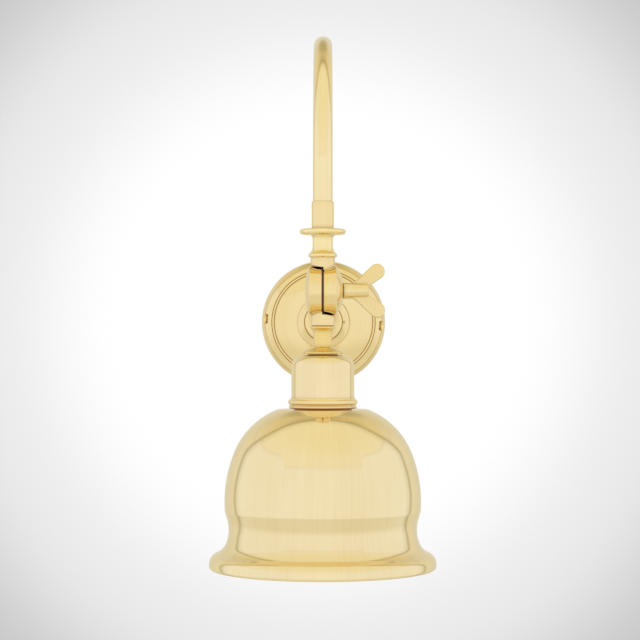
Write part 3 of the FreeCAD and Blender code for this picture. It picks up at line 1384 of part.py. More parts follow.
# ---------------------------------------------------------------------------------------------------
# The whole light
# ---------------------------------------------------------------------------------------------------
def build(doc):
    """All pieces, in the order in which they go together from the wall outwards."""
    pieces = [
        wall_bracket(doc), wall_rose(doc), rose_side_screws(doc), earth_screw(doc), terminal_block(doc),
        arm_boss(doc), arm_grub_screw(doc), arm_lock_washer(doc), arm_back_nut(doc),
        swan_neck_arm(doc), arm_ferrule(doc), drip_collar(doc), supply_flex(doc), supply_cores(doc),
        upper_knuckle(doc), friction_washer(doc), lower_knuckle(doc), pivot_stud(doc),
        pressure_washer(doc), wing_nut(doc),
        neck_collar(doc), threaded_nipple(doc), nipple_locknut(doc), lamp_flex(doc),
        cover_cup(doc), gallery_ring(doc),
        lampholder_cap(doc), lampholder_insulator(doc), holder_terminals(doc), holder_terminal_screws(doc),
        lampholder_barrel(doc), lampholder_skirt(doc),
    ]
    for side, sign in (("left", "-"), ("right", "")):
        pieces.append(contact_plunger(doc, side, sign))
        pieces.append(plunger_spring(doc, side, sign))
    pieces += [bell_shade(doc), shade_ring(doc)]
    return pieces


def check(doc, pieces):
    """Stop if any object failed or any piece has no valid solid."""
    faults = []
    for thing in doc.Objects:
        if {"Invalid", "Error"} & set(thing.State):
            faults.append(f"{thing.Name}: {thing.State}")
    for piece in pieces:
        shape = piece.Shape
        if shape.isNull() or not shape.isValid() or not shape.Solids:
            faults.append(f"{piece.Label}: no valid solid")
    if faults:
        raise RuntimeError("; ".join(faults))


def main():
    """Build the document, check it and write one STEP file for each piece."""
    doc = FreeCAD.newDocument("wall_light")
    make_sheet(doc)
    pieces = build(doc)
    doc.recompute()
    check(doc, pieces)
    os.makedirs("parts", exist_ok=True)
    for piece in pieces:
        piece.Shape.exportStep(f"parts/{piece.Label}.step")
    print(f"{len(pieces)} pieces written")


main()
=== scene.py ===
import logging
import math
from dataclasses import dataclass, field, replace
from enum import Enum
from typing import Any, Mapping, Optional, Protocol, Sequence

import bmesh
import bpy
import numpy as np
from mathutils import Matrix, Vector


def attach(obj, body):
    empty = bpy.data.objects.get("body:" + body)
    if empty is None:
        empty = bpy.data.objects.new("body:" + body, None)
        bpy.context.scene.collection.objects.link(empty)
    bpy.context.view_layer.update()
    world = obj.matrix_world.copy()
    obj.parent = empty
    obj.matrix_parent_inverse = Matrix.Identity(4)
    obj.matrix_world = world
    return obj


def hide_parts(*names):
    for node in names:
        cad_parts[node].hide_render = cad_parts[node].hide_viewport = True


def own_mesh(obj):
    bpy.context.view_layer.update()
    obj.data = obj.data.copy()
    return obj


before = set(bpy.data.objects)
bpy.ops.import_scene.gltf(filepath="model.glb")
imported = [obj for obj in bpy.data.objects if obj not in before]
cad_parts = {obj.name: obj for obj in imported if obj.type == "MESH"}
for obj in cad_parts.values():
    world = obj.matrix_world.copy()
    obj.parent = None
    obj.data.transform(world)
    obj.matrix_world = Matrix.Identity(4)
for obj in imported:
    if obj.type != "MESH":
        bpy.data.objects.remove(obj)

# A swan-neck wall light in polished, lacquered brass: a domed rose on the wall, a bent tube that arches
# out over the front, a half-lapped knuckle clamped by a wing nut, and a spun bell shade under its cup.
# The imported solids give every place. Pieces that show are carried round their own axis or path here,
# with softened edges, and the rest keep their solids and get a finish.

LOG = logging.getLogger("wall_light")
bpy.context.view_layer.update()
MM = 0.001
FRONT = -284.0                      # the shade's upright axis, mm out from the wall
PIVOT = 17.6                        # height of the knuckle's axis, mm
Outline = Sequence[tuple[float, ...]]


class Body(Enum):
    """The bodies that pieces ride on."""

    WALL_ARM = "wall_arm"
    LAMP_HEAD = "lamp_head"
    NUT_CARRIAGE = "nut_carriage"
    CLAMP_NUT = "clamp_nut"
    LEFT_PLUNGER = "left_plunger"
    RIGHT_PLUNGER = "right_plunger"


class Slot(Enum):
    """The record's material slots."""

    SPUN_BRASS = "spun_brass"
    TUBE_BRASS = "tube_brass"
    TURNED_BRASS = "turned_brass"
    CAST_BRASS = "cast_brass"
    SCREW_BRASS = "screw_brass"
    FITTING_BRASS = "fitting_brass"
    ZINC_STEEL = "zinc_steel"
    SPRING_STEEL = "spring_steel"
    PORCELAIN = "porcelain"
    NYLON = "nylon"
    FLEX_SHEATH = "flex_sheath"
    CORE_SHEATH = "core_sheath"


class Grain(Enum):
    """Which way the fine marks of the finish run."""

    ALONG = "along the axis or the tube"
    ROUND = "round the axis, as a tool or a mop leaves them"
    CLOUDY = "no direction, as on a casting or a moulding"


# ---------------------------------------------------------------------------------------------------
# Shader nodes
# ---------------------------------------------------------------------------------------------------
def linear(code: str, gain: float = 1.0) -> tuple[float, float, float, float]:
    """Turn an sRGB hex colour into linear light.

    Args:
        code: Colour such as "#f3deaf".
        gain: Factor on the linear values.

    Returns:
        Red, green, blue and an alpha of 1.
    """
    parts = np.array([int(code[at:at + 2], 16) for at in (1, 3, 5)], float) / 255.0
    light = np.where(parts <= 0.04045, parts / 12.92, ((parts + 0.055) / 1.055) ** 2.4) * gain
    return (float(light[0]), float(light[1]), float(light[2]), 1.0)


def add(tree: bpy.types.NodeTree, kind: str, settings: Optional[Mapping[str, Any]] = None,
        **inputs: Any) -> bpy.types.Node:
    """Add a shader node with its settings and links.

    Args:
        tree: The node tree.
        kind: The node's type, without its ShaderNode prefix.
        settings: Attributes of the node.
        **inputs: Socket names with underscores for blanks, or in0, in1, ... for a place in the row. A
            value is set on the socket and an output socket is linked to it.

    Returns:
        The new node.
    """
    made = tree.nodes.new("ShaderNode" + kind)
    for name, value in (settings or {}).items():
        setattr(made, name, value)
    for name, value in inputs.items():
        by_place = name.startswith("in") and name[2:].isdigit()
        socket = made.inputs[int(name[2:])] if by_place else made.inputs[name.replace("_", " ")]
        if isinstance(value, bpy.types.NodeSocket):
            tree.links.new(value, socket)
        else:
            socket.default_value = value
    return made


def fresh_material(name: str) -> tuple[bpy.types.Material, bpy.types.NodeTree]:
    """Return a new material and its emptied node tree."""
    made = bpy.data.materials.new(name)
    made.use_nodes = True
    made.node_tree.nodes.clear()
    return made, made.node_tree


@dataclass(frozen=True)
class MetalFinish:
    """A worked metal: two close tones, fine marks in the grain's direction, and a lacquer where it has one.

    Sizes are in mm. The marks' width is that of the real ones, drawn as coarse as they need to show.
    """

    name: str
    tone: str
    dark_tone: str
    grain: Grain
    mark_width: float
    mark_length: float
    radius: float = 20.0
    depth: float = 0.004
    smooth: float = 0.08
    rough: float = 0.16
    cloud_size: float = 30.0
    lacquer: float = 0.0
    streak: float = 0.5
    # Painted shade: this deeper tone is laid wherever ambient occlusion within the reach below finds the surface closed
    # in.
    painted_crease_shade: str = "#a06a10"
    painted_shade_reach: float = 3.5

    def _marks(self, tree: bpy.types.NodeTree) -> bpy.types.NodeSocket:
        """Lay the noise of the marks on the piece.

        A turned piece has a map of u, its turn from 0 to 1, and v, its outline in units of 100 mm. The
        noise is read at (K cos 2 pi u, K sin 2 pi u, L v), so it has no seam. K is the radius over the
        marks' size round the axis, and L is 100 over their size along the outline.

        Args:
            tree: The material's node tree.

        Returns:
            The noise, from 0 to 1.
        """
        if self.grain is Grain.CLOUDY:
            place = add(tree, "TexCoord").outputs["Object"]
            scale = 1000.0 / self.mark_width
            return add(tree, "TexNoise", Vector=place, Scale=scale, Detail=3.0).outputs[0]
        round_size, along_size = self.mark_width, self.mark_length
        if self.grain is Grain.ROUND:
            round_size, along_size = self.mark_length, self.mark_width
        turning = add(tree, "UVMap", {"uv_map": "turning"}).outputs[0]
        split = add(tree, "SeparateXYZ", in0=turning)
        angle = add(tree, "Math", {"operation": "MULTIPLY"}, in0=split.outputs[0], in1=2.0 * math.pi).outputs[0]
        reach = self.radius / round_size
        waves = []
        for operation in ("COSINE", "SINE"):
            wave = add(tree, "Math", {"operation": operation}, in0=angle).outputs[0]
            waves.append(add(tree, "Math", {"operation": "MULTIPLY"}, in0=wave, in1=reach).outputs[0])
        along = add(tree, "Math", {"operation": "MULTIPLY"}, in0=split.outputs[1], in1=100.0 / along_size).outputs[0]
        place = add(tree, "CombineXYZ", in0=waves[0], in1=waves[1], in2=along).outputs[0]
        return add(tree, "TexNoise", Vector=place, Scale=1.0, Detail=3.0, Roughness=0.55).outputs[0]

    def material(self) -> bpy.types.Material:
        """Build the material.

        Returns:
            A metallic material whose tone, roughness and bump follow the marks and a soft cloud, and which
            carries painted shade: its colour turns to a deeper tone wherever ambient occlusion finds it closed in.
        """
        made, tree = fresh_material(self.name)
        marks = self._marks(tree)
        place = add(tree, "TexCoord").outputs["Object"]
        cloud = add(tree, "TexNoise", Vector=place, Scale=1000.0 / self.cloud_size, Detail=2.0).outputs[0]
        streak = add(tree, "MapRange", in0=marks, in1=0.5 - self.streak / 2.0, in2=0.5 + self.streak / 2.0,
                     in3=0.0, in4=1.0).outputs[0]
        both = add(tree, "Math", {"operation": "MULTIPLY_ADD"}, in0=cloud, in1=0.6, in2=0.0).outputs[0]
        share = add(tree, "Math", {"operation": "MULTIPLY_ADD", "use_clamp": True}, in0=streak, in1=0.4,
                    in2=both).outputs[0]
        worked = add(tree, "MixRGB", in0=share, in1=linear(self.dark_tone), in2=linear(self.tone)).outputs[0]
        # Painted shade: where ambient occlusion finds the surface closed in, the colour turns to the crease tone.
        openness = add(tree, "AmbientOcclusion", {"samples": 8}, Distance=self.painted_shade_reach * MM).outputs["AO"]
        polished = add(tree, "MapRange", in0=openness, in1=0.3, in2=0.92, in3=0.0, in4=1.0).outputs[0]
        colour = add(tree, "MixRGB", in0=polished, in1=linear(self.painted_crease_shade), in2=worked).outputs[0]
        rough = add(tree, "MapRange", in0=share, in1=0.2, in2=0.85, in3=self.rough, in4=self.smooth).outputs[0]
        bump = add(tree, "Bump", Strength=1.0, Distance=self.depth * MM, Height=marks).outputs[0]
        shader = add(tree, "BsdfPrincipled", Base_Color=colour, Metallic=1.0, Roughness=rough, Normal=bump)
        if self.lacquer:
            shader.inputs["Coat Weight"].default_value = self.lacquer
            shader.inputs["Coat Roughness"].default_value = 0.05
        add(tree, "OutputMaterial", Surface=shader.outputs[0])
        return made


@dataclass(frozen=True)
class MouldedFinish:
    """A moulded or glazed finish that is no metal: one tone with a faint cloud and a fine skin."""

    name: str
    tone: str
    shade_tone: str
    rough: float
    ior: float
    grain_size: float
    depth: float
    coat: float = 0.0

    def material(self) -> bpy.types.Material:
        """Build the material.

        Returns:
            A dielectric material whose tone and roughness vary a little and whose skin has a fine bump.
        """
        made, tree = fresh_material(self.name)
        place = add(tree, "TexCoord").outputs["Object"]
        skin = add(tree, "TexNoise", Vector=place, Scale=1000.0 / self.grain_size, Detail=2.0).outputs[0]
        cloud = add(tree, "TexNoise", Vector=place, Scale=1000.0 / (12.0 * self.grain_size)).outputs[0]
        colour = add(tree, "MixRGB", in0=cloud, in1=linear(self.shade_tone), in2=linear(self.tone)).outputs[0]
        rough = add(tree, "MapRange", in0=skin, in1=0.3, in2=0.7, in3=self.rough * 0.85,
                    in4=self.rough * 1.2).outputs[0]
        bump = add(tree, "Bump", Strength=1.0, Distance=self.depth * MM, Height=skin).outputs[0]
        shader = add(tree, "BsdfPrincipled", Base_Color=colour, Roughness=rough, IOR=self.ior, Normal=bump)
        shader.inputs["Coat Weight"].default_value = self.coat
        add(tree, "OutputMaterial", Surface=shader.outputs[0])
        return made


class Finishes:
    """Every finish of the light, built once."""

    def __init__(self) -> None:
        """Build the materials, by slot."""
        self.by_slot: dict[Slot, bpy.types.Material] = {
            # Spun brass, buffed up and down and lacquered: pale gold with fine upright streaks, in which
            # reflections stay clear but their edges fray a little.
            Slot.SPUN_BRASS: MetalFinish("spun_lacquered_brass", "#f8e7bd", "#efdaa4", Grain.ALONG, 1.6, 70.0,
                                         radius=63.0, depth=0.0035, smooth=0.07, rough=0.15, lacquer=1.0,
                                         painted_shade_reach=13.0),
            # Drawn tube, polished along its length and lacquered: pale, with faint lines along the tube.
            Slot.TUBE_BRASS: MetalFinish("drawn_lacquered_brass", "#fceabd", "#f2dda7", Grain.ALONG, 0.7, 60.0,
                                         radius=6.35, depth=0.0015, smooth=0.09, rough=0.16, lacquer=1.0),
            # Bar brass turned on a lathe, polished and lacquered: bright, with faint lines round the axis.
            Slot.TURNED_BRASS: MetalFinish("turned_lacquered_brass", "#f9e5b2", "#eed38f", Grain.ROUND, 0.5, 40.0,
                                           radius=12.0, depth=0.0012, smooth=0.07, rough=0.14, lacquer=1.0),
            # Cast brass, linished and polished by hand: bright with soft uneven patches.
            Slot.CAST_BRASS: MetalFinish("cast_lacquered_brass", "#f8e3ae", "#eed592", Grain.CLOUDY, 3.0, 3.0,
                                         depth=0.006, smooth=0.08, rough=0.17, cloud_size=18.0, lacquer=1.0),
            # Brass screws without lacquer: deeper, toned brown in places.
            Slot.SCREW_BRASS: MetalFinish("toned_screw_brass", "#dcb871", "#a87f3e", Grain.CLOUDY, 0.8, 0.8,
                                          depth=0.004, smooth=0.16, rough=0.32, cloud_size=3.0),
            # Satin brass of lampholder fittings: yellow, with soft reflections.
            Slot.FITTING_BRASS: MetalFinish("satin_fitting_brass", "#ecd08a", "#d3b068", Grain.CLOUDY, 0.5, 0.5,
                                            depth=0.004, smooth=0.2, rough=0.34, cloud_size=9.0),
            # Bright zinc plate on mild steel: cool grey with a faint spangle.
            Slot.ZINC_STEEL: MetalFinish("zinc_plated_steel", "#c9cdd2", "#a9afb8", Grain.CLOUDY, 2.2, 2.2,
                                         depth=0.005, smooth=0.24, rough=0.42, cloud_size=7.0, painted_crease_shade="#6c7076"),
            # Hard drawn spring wire: grey, smooth along the wire.
            Slot.SPRING_STEEL: MetalFinish("drawn_spring_steel", "#b9babf", "#94969d", Grain.CLOUDY, 0.4, 0.4,
                                           depth=0.002, smooth=0.2, rough=0.34, cloud_size=2.0, painted_crease_shade="#606268"),
            # Glazed porcelain: warm white under a wet gloss.
            Slot.PORCELAIN: MouldedFinish("glazed_porcelain", "#f1ede2", "#e6e0d0", 0.12, 1.52, 1.2, 0.01, 0.6),
            # Natural nylon, moulded: milky, half matt with a fine skin.
            Slot.NYLON: MouldedFinish("moulded_nylon", "#ece8dc", "#ddd7c8", 0.42, 1.53, 0.6, 0.012),
            # Soft PVC sheath, extruded: off-white with a dull sheen.
            Slot.FLEX_SHEATH: MouldedFinish("extruded_pvc_sheath", "#dedbd2", "#cfcbc0", 0.38, 1.54, 0.5, 0.008),
            # Core insulation: the same PVC in brown.
            Slot.CORE_SHEATH: MouldedFinish("core_insulation_pvc", "#6e4a2c", "#5a3a22", 0.35, 1.54, 0.4, 0.006),
        }
        # Drawing coarser marks on the small spun cup would lose them, so it has its own width of streak.
        self.cup = MetalFinish("spun_lacquered_brass_cup", "#f9e7bb", "#efd8a2", Grain.ALONG, 0.9, 50.0,
                               radius=20.0, depth=0.002, smooth=0.08, rough=0.16, lacquer=1.0).material()
        # The slender neck gets a deeper copy of the turned brass, painted shade, and the wide disc a paler copy, a
        # painted highlight.
        turned = self.by_slot[Slot.TURNED_BRASS]
        self.neck = replace(turned, name="turned_brass_shaded_neck", tone="#f6dd93", dark_tone="#ebcb76").material()
        self.disc = replace(turned, name="turned_brass_lit_disc", tone="#feefbb", dark_tone="#f3dc96").material()
        # A finish needs its map, and the solids that are kept have none, so they get marks without one.
        self.plain_turned = MetalFinish("polished_knuckle_brass", "#f9e5b2", "#eed38f", Grain.CLOUDY, 2.0, 2.0,
                                        depth=0.0025, smooth=0.07, rough=0.14, lacquer=1.0).material()
        # The rose is turned after casting, so its marks run round it.
        self.rose = MetalFinish("faced_rose_brass", "#f8e3ae", "#eed592", Grain.ROUND, 1.1, 60.0, radius=40.0,
                                depth=0.002, smooth=0.08, rough=0.16, cloud_size=26.0, lacquer=1.0,
                                painted_shade_reach=1.8).material()
        # Vulcanised fibre, dark brown and half matt: the washer is a real part, and its dark tone is also painted
        # shade, so the lap between the drums reads as a dark line.
        self.fibre = MouldedFinish("vulcanised_fibre_gap_shade", "#2e2116", "#231910", 0.55, 1.5, 0.4, 0.008).material()
        self.built = {slot: finish.material() for slot, finish in self.by_slot.items()}

    def of(self, slot: Slot) -> bpy.types.Material:
        """Return the material of a slot."""
        return self.built[slot]


# ---------------------------------------------------------------------------------------------------
# Outlines and surfaces
# ---------------------------------------------------------------------------------------------------
def run(start: np.ndarray, end: np.ndarray, radius: float, step: float) -> np.ndarray:
    """Sample one run of an outline, its end left out.

    A straight run is start + t (end - start). An arc's centre lies on the chord's perpendicular through
    its middle, sqrt(R^2 - (chord / 2)^2) from it: left of the way if R is positive, right if negative.
    Its points are centre + R (cos a, sin a), with a going evenly over the arc's sweep.

    Args:
        start: First point, mm.
        end: Last point, mm.
        radius: Arc radius in mm with its side as sign, or 0 for a straight run.
        step: Longest distance between points, mm.

    Returns:
        Points, one row each.
    """
    chord = end - start
    length = float(np.hypot(*chord))
    if radius == 0.0:
        count = max(1, math.ceil(length / step))
        return start + np.linspace(0.0, 1.0, count, endpoint=False)[:, None] * chord
    side = math.copysign(1.0, radius)
    across = np.array([-chord[1], chord[0]]) / length
    centre = (start + end) / 2.0 + side * across * math.sqrt(max(radius ** 2 - (length / 2.0) ** 2, 0.0))
    sweep = side * 2.0 * math.asin(min(1.0, length / (2.0 * abs(radius))))
    count = max(4, math.ceil(abs(radius * sweep) / step), math.ceil(abs(sweep) / math.radians(8.0)))
    angles = math.atan2(start[1] - centre[1], start[0] - centre[0]) + sweep * np.arange(count) / count
    return centre + abs(radius) * np.stack([np.cos(angles), np.sin(angles)], axis=1)


def trace(outline: Outline, step: float, straight_step: float) -> np.ndarray:
    """Sample a closed outline of corners (r, h) or (r, h, radius of the arc that arrives there).

    Args:
        outline: The corners, mm.
        step: Longest distance between points on arcs, mm.
        straight_step: Longest distance between points on straight runs, mm.

    Returns:
        Points of the closed line, the first one not repeated.
    """
    corners = [np.array(corner[:2], float) for corner in outline]
    arriving = [corner[2] if len(corner) > 2 else 0.0 for corner in outline]
    rows = []
    for at, start in enumerate(corners):
        following = (at + 1) % len(corners)
        radius = arriving[following]
        rows.append(run(start, corners[following], radius, step if radius else straight_step))
    return np.vstack(rows)


def soften(line: np.ndarray, reach: float, least_turn: float = 20.0) -> np.ndarray:
    """Round the sharp corners of a closed line.

    Each corner C that turns by more than least_turn gives way to the curve
    (1 - t)^2 A + 2 t (1 - t) C + t^2 B, where A and B lie at reach from C on its two runs.

    Args:
        line: Points, mm.
        reach: How far the rounding starts from the corner, mm.
        least_turn: Smallest turn that is rounded, degrees.

    Returns:
        The rounded line.
    """
    into = line - np.roll(line, 1, axis=0)
    away = np.roll(line, -1, axis=0) - line
    length_in = np.linalg.norm(into, axis=1, keepdims=True)
    length_out = np.linalg.norm(away, axis=1, keepdims=True)
    cosine = np.sum(into * away, axis=1) / (length_in * length_out)[:, 0]
    sharp = np.degrees(np.arccos(np.clip(cosine, -1.0, 1.0))) > least_turn
    on_axis = line[:, 0] < 1e-9
    sharp &= ~on_axis
    cut = np.minimum(reach, 0.42 * np.minimum(length_in, length_out))
    before = line - into / length_in * cut
    after = line + away / length_out * cut
    t = np.linspace(0.0, 1.0, 5)[None, :, None]
    curve = (1 - t) ** 2 * before[:, None] + 2 * t * (1 - t) * line[:, None] + t ** 2 * after[:, None]
    curve[~sharp] = line[~sharp][:, None]
    kept = np.tile(sharp[:, None], (1, 5))
    kept[:, 2] = True
    return curve[kept]


class Spine(Protocol):
    """What an outline is carried round: a point and two directions across it at each height."""

    def at(self, height: np.ndarray) -> tuple[np.ndarray, np.ndarray, np.ndarray]:
        """Return the points, and the two unit vectors across, at these heights in mm."""


@dataclass(frozen=True)
class StraightSpine:
    """A straight axis from an origin: centre(h) = origin + h along."""

    origin: tuple[float, float, float]
    along: tuple[float, float, float] = (0.0, 0.0, 1.0)
    across: tuple[float, float, float] = (1.0, 0.0, 0.0)

    def at(self, height: np.ndarray) -> tuple[np.ndarray, np.ndarray, np.ndarray]:
        """Return the points, and the two unit vectors across, at these heights in mm."""
        along, across = np.array(self.along), np.array(self.across)
        centre = np.array(self.origin) + height[:, None] * along
        side = np.cross(along, across)
        return centre, np.tile(across, (len(height), 1)), np.tile(side, (len(height), 1))


@dataclass(frozen=True)
class SwanNeckSpine:
    """The tube's path in the plane x = 0: up, over the arch, down, and round the lower bend into the wall.

    The path is a row of straight runs and arcs. On an arc its heading t turns evenly with length, and
    the point is the arc's start plus R times the turned headings' difference.
    """

    foot: float = 52.8
    arch_level: float = 79.0
    arch_radius: float = 112.0
    bend_radius: float = 26.0
    rear_leg: float = -60.0
    tail: float = -14.0

    def _parts(self) -> list[tuple[float, float]]:
        """Return the runs as (length, turn in radians towards the wall), mm."""
        return [(self.arch_level - self.foot, 0.0),
                (math.pi * self.arch_radius, -math.pi),
                (self.arch_level - self.bend_radius, 0.0),
                (math.pi / 2.0 * self.bend_radius, math.pi / 2.0),
                (self.tail - self.rear_leg - self.bend_radius, 0.0)]

    def length(self) -> float:
        """Return the whole length, mm."""
        return sum(part[0] for part in self._parts())

    def at(self, height: np.ndarray) -> tuple[np.ndarray, np.ndarray, np.ndarray]:
        """Return the points, and the two unit vectors across, at these lengths along the path.

        Args:
            height: Lengths from the foot, mm.

        Returns:
            Points, directions across in the plane, and directions across it, one row each.
        """
        point = np.array([FRONT, self.foot])
        heading = math.pi / 2.0
        centre = np.zeros((len(height), 2))
        turned = np.zeros(len(height))
        passed = 0.0
        for length, turn in self._parts():
            inside = height >= passed - 1e-9
            way = np.clip(height - passed, -1.0, length + 1.0)
            angle = heading + turn * way / length
            if turn:
                bend = length / turn
                place = point + bend * np.stack([np.sin(angle) - math.sin(heading),
                                                 math.cos(heading) - np.cos(angle)], axis=1)
            else:
                place = point + way[:, None] * np.array([math.cos(heading), math.sin(heading)])
            centre[inside] = place[inside]
            turned[inside] = angle[inside]
            end = heading + turn
            if turn:
                point = point + length / turn * np.array([math.sin(end) - math.sin(heading),
                                                          math.cos(heading) - math.cos(end)])
            else:
                point = point + length * np.array([math.cos(heading), math.sin(heading)])
            heading = end
            passed += length
        zero = np.zeros(len(height))
        points = np.stack([zero, centre[:, 0], centre[:, 1]], axis=1)
        across = np.stack([zero + 1.0, zero, zero], axis=1)
        side = np.stack([zero, -np.sin(turned), np.cos(turned)], axis=1)
        return points, across, side


def carried(line: np.ndarray, spine: Spine, turns: int) -> np.ndarray:
    """Carry an outline round a spine.

    The point of (r, h) at the turn a is centre(h) + r (cos a across(h) + sin a side(h)).

    Args:
        line: Outline points (r, h), mm.
        spine: The axis or path.
        turns: Steps round it.

    Returns:
        Grid of points in mm, turn by outline point by xyz.
    """
    angle = 2.0 * math.pi * np.arange(turns) / turns
    centre, across, side = spine.at(line[:, 1])
    ring = (np.cos(angle)[:, None, None] * across[None] + np.sin(angle)[:, None, None] * side[None])
    return centre[None] + line[None, :, :1] * ring


def closed_grid_mesh(name: str, grid: np.ndarray, line: np.ndarray) -> bpy.types.Mesh:
    """Make a mesh of a grid that closes both ways, with faces outwards and a map of turn and outline.

    The volume inside is the sum of a . (b x c) / 6 over its triangles. Where it comes out negative, the
    faces are turned round.

    Args:
        name: Mesh name.
        grid: Points in mm, turn by outline point by xyz.
        line: The outline, mm, for the map.

    Returns:
        The mesh, in metres.
    """
    turns, count = grid.shape[:2]
    points = grid.reshape(-1, 3) * MM
    index = np.arange(turns * count).reshape(turns, count)
    right = np.roll(index, -1, axis=0)
    quads = np.stack([index, right, np.roll(right, -1, axis=1), np.roll(index, -1, axis=1)], -1).reshape(-1, 4)
    run_length = np.concatenate([[0.0], np.cumsum(np.linalg.norm(np.roll(line, -1, axis=0) - line, axis=1))])
    u = np.arange(turns + 1) / turns
    v = run_length / 100.0
    u_grid, v_grid = np.meshgrid(u, v, indexing="ij")
    both = np.stack([u_grid, v_grid], axis=-1)
    maps = np.stack([both[:-1, :-1], both[1:, :-1], both[1:, 1:], both[:-1, 1:]], axis=2).reshape(-1, 4, 2)
    a, b, c, d = (points[quads[:, at]] for at in range(4))
    volume = np.sum(a * np.cross(b, c)) + np.sum(a * np.cross(c, d))
    if volume < 0.0:
        quads, maps = quads[:, ::-1], maps[:, ::-1]
    made = bpy.data.meshes.new(name)
    made.from_pydata(points.tolist(), [], quads.tolist())
    made.uv_layers.new(name="turning").data.foreach_set("uv", maps.reshape(-1).copy())
    if np.any(line[:, 0] < 1e-9):
        close_doubles(made)
    return made


def close_doubles(made: bpy.types.Mesh, reach: float = 1e-6) -> None:
    """Merge points that lie together, which closes poles and joins loose triangles."""
    work = bmesh.new()
    work.from_mesh(made)
    bmesh.ops.remove_doubles(work, verts=work.verts, dist=reach)
    work.to_mesh(made)
    work.free()


def add_object(name: str, made: bpy.types.Mesh, sharp: float = 38.0) -> bpy.types.Object:
    """Put a mesh into the scene, smooth but for edges sharper than an angle in degrees.

    Args:
        name: Object name.
        made: Its mesh.
        sharp: Angle above which an edge stays sharp, degrees.

    Returns:
        The object.
    """
    made.shade_smooth()
    made.set_sharp_from_angle(angle=math.radians(sharp))
    piece = bpy.data.objects.new(name, made)
    bpy.context.scene.collection.objects.link(piece)
    weighted = piece.modifiers.new("face_weighted", "WEIGHTED_NORMAL")
    weighted.keep_sharp = True
    return piece


def apply_modifiers(piece: bpy.types.Object) -> None:
    """Make the modifiers part of the mesh."""
    graph = bpy.context.evaluated_depsgraph_get()
    done = bpy.data.meshes.new_from_object(piece.evaluated_get(graph))
    piece.modifiers.clear()
    piece.data = done


def dress(piece: bpy.types.Object, body: Body, slot: Slot, finish: bpy.types.Material, *nodes: str) -> None:
    """Give a new piece its finish, the body that it rides on, and the nodes that it stands for.

    Args:
        piece: The new piece.
        body: The body that it rides on.
        slot: The record's slot of its finish; not used.
        finish: Its material.
        *nodes: The CAD nodes that it replaces.
    """
    piece.data.materials.clear()
    piece.data.materials.append(finish)
    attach(piece, body.value)
    if nodes:
        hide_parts(*nodes)
    LOG.info("piece %s: %d faces, rides on %s", piece.name, len(piece.data.polygons), body.value)


def keep(node: str, finish: bpy.types.Material) -> None:
    """Keep a CAD node's solid and give it a better finish."""
    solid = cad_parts[node]
    for place in solid.material_slots:
        place.material = finish
    LOG.info("node %s: kept, %s", node, finish.name)


@dataclass
class Turned:
    """A piece turned about an axis or carried along a path, from one closed outline."""

    name: str
    node: str
    outline: Outline
    spine: Spine
    turns: int = 128
    edge: float = 0.2
    step: float = 0.9
    straight_step: float = 400.0

    def mesh(self) -> tuple[bpy.types.Mesh, np.ndarray]:
        """Return the mesh and its outline."""
        line = soften(trace(self.outline, self.step, self.straight_step), self.edge)
        return closed_grid_mesh(self.name, carried(line, self.spine, self.turns), line), line

    def build(self, body: Body, slot: Slot, finish: bpy.types.Material) -> bpy.types.Object:
        """Build the piece and put it in the place of its node.

        Args:
            body: The body that it rides on.
            slot: The record's slot of its finish.
            finish: Its material.

        Returns:
            The piece.
        """
        piece = add_object(self.name, self.mesh()[0])
        dress(piece, body, slot, finish, self.node)
        return piece


def upright(level: float) -> StraightSpine:
    """Return the shade's upright axis, with heights counted from a level in mm."""
    return StraightSpine((0.0, FRONT, level))


def from_wall(depth: float) -> StraightSpine:
    """Return the rose's axis, with heights counted along +Y from a depth in mm."""
    return StraightSpine((0.0, depth, 0.0), along=(0.0, 1.0, 0.0))


def solid_copy(node: str, name: str, bevel: float, sharp: float = 32.0, flat: float = 0.3) -> bpy.types.Object:
    """Copy a node's solid, join its triangles, and break its sharp edges with a small rounding.

    Args:
        node: The CAD node.
        name: Name of the new piece.
        bevel: Width of the rounding, mm.
        sharp: Angle above which an edge is rounded, degrees.
        flat: Triangles that turn less than this from each other become one face, degrees.

    Returns:
        The new piece.
    """
    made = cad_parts[node].data.copy()
    made.name = name
    if "custom_normal" in made.attributes:
        made.attributes.remove(made.attributes["custom_normal"])
    work = bmesh.new()
    work.from_mesh(made)
    bmesh.ops.remove_doubles(work, verts=work.verts, dist=4e-6)
    bmesh.ops.dissolve_limit(work, angle_limit=math.radians(flat), verts=work.verts, edges=work.edges)
    for edge in work.edges:
        edge.smooth = True
    work.to_mesh(made)
    work.free()
    piece = add_object(name, made, sharp)
    if bevel:
        piece.modifiers.clear()
        rounding = piece.modifiers.new("rounded_edges", "BEVEL")
        rounding.width = bevel * MM
        rounding.segments = 2
        rounding.limit_method = "ANGLE"
        rounding.angle_limit = math.radians(sharp)
        rounding.use_clamp_overlap = True
        weighted = piece.modifiers.new("face_weighted", "WEIGHTED_NORMAL")
        weighted.keep_sharp = True
        apply_modifiers(piece)
    return piece


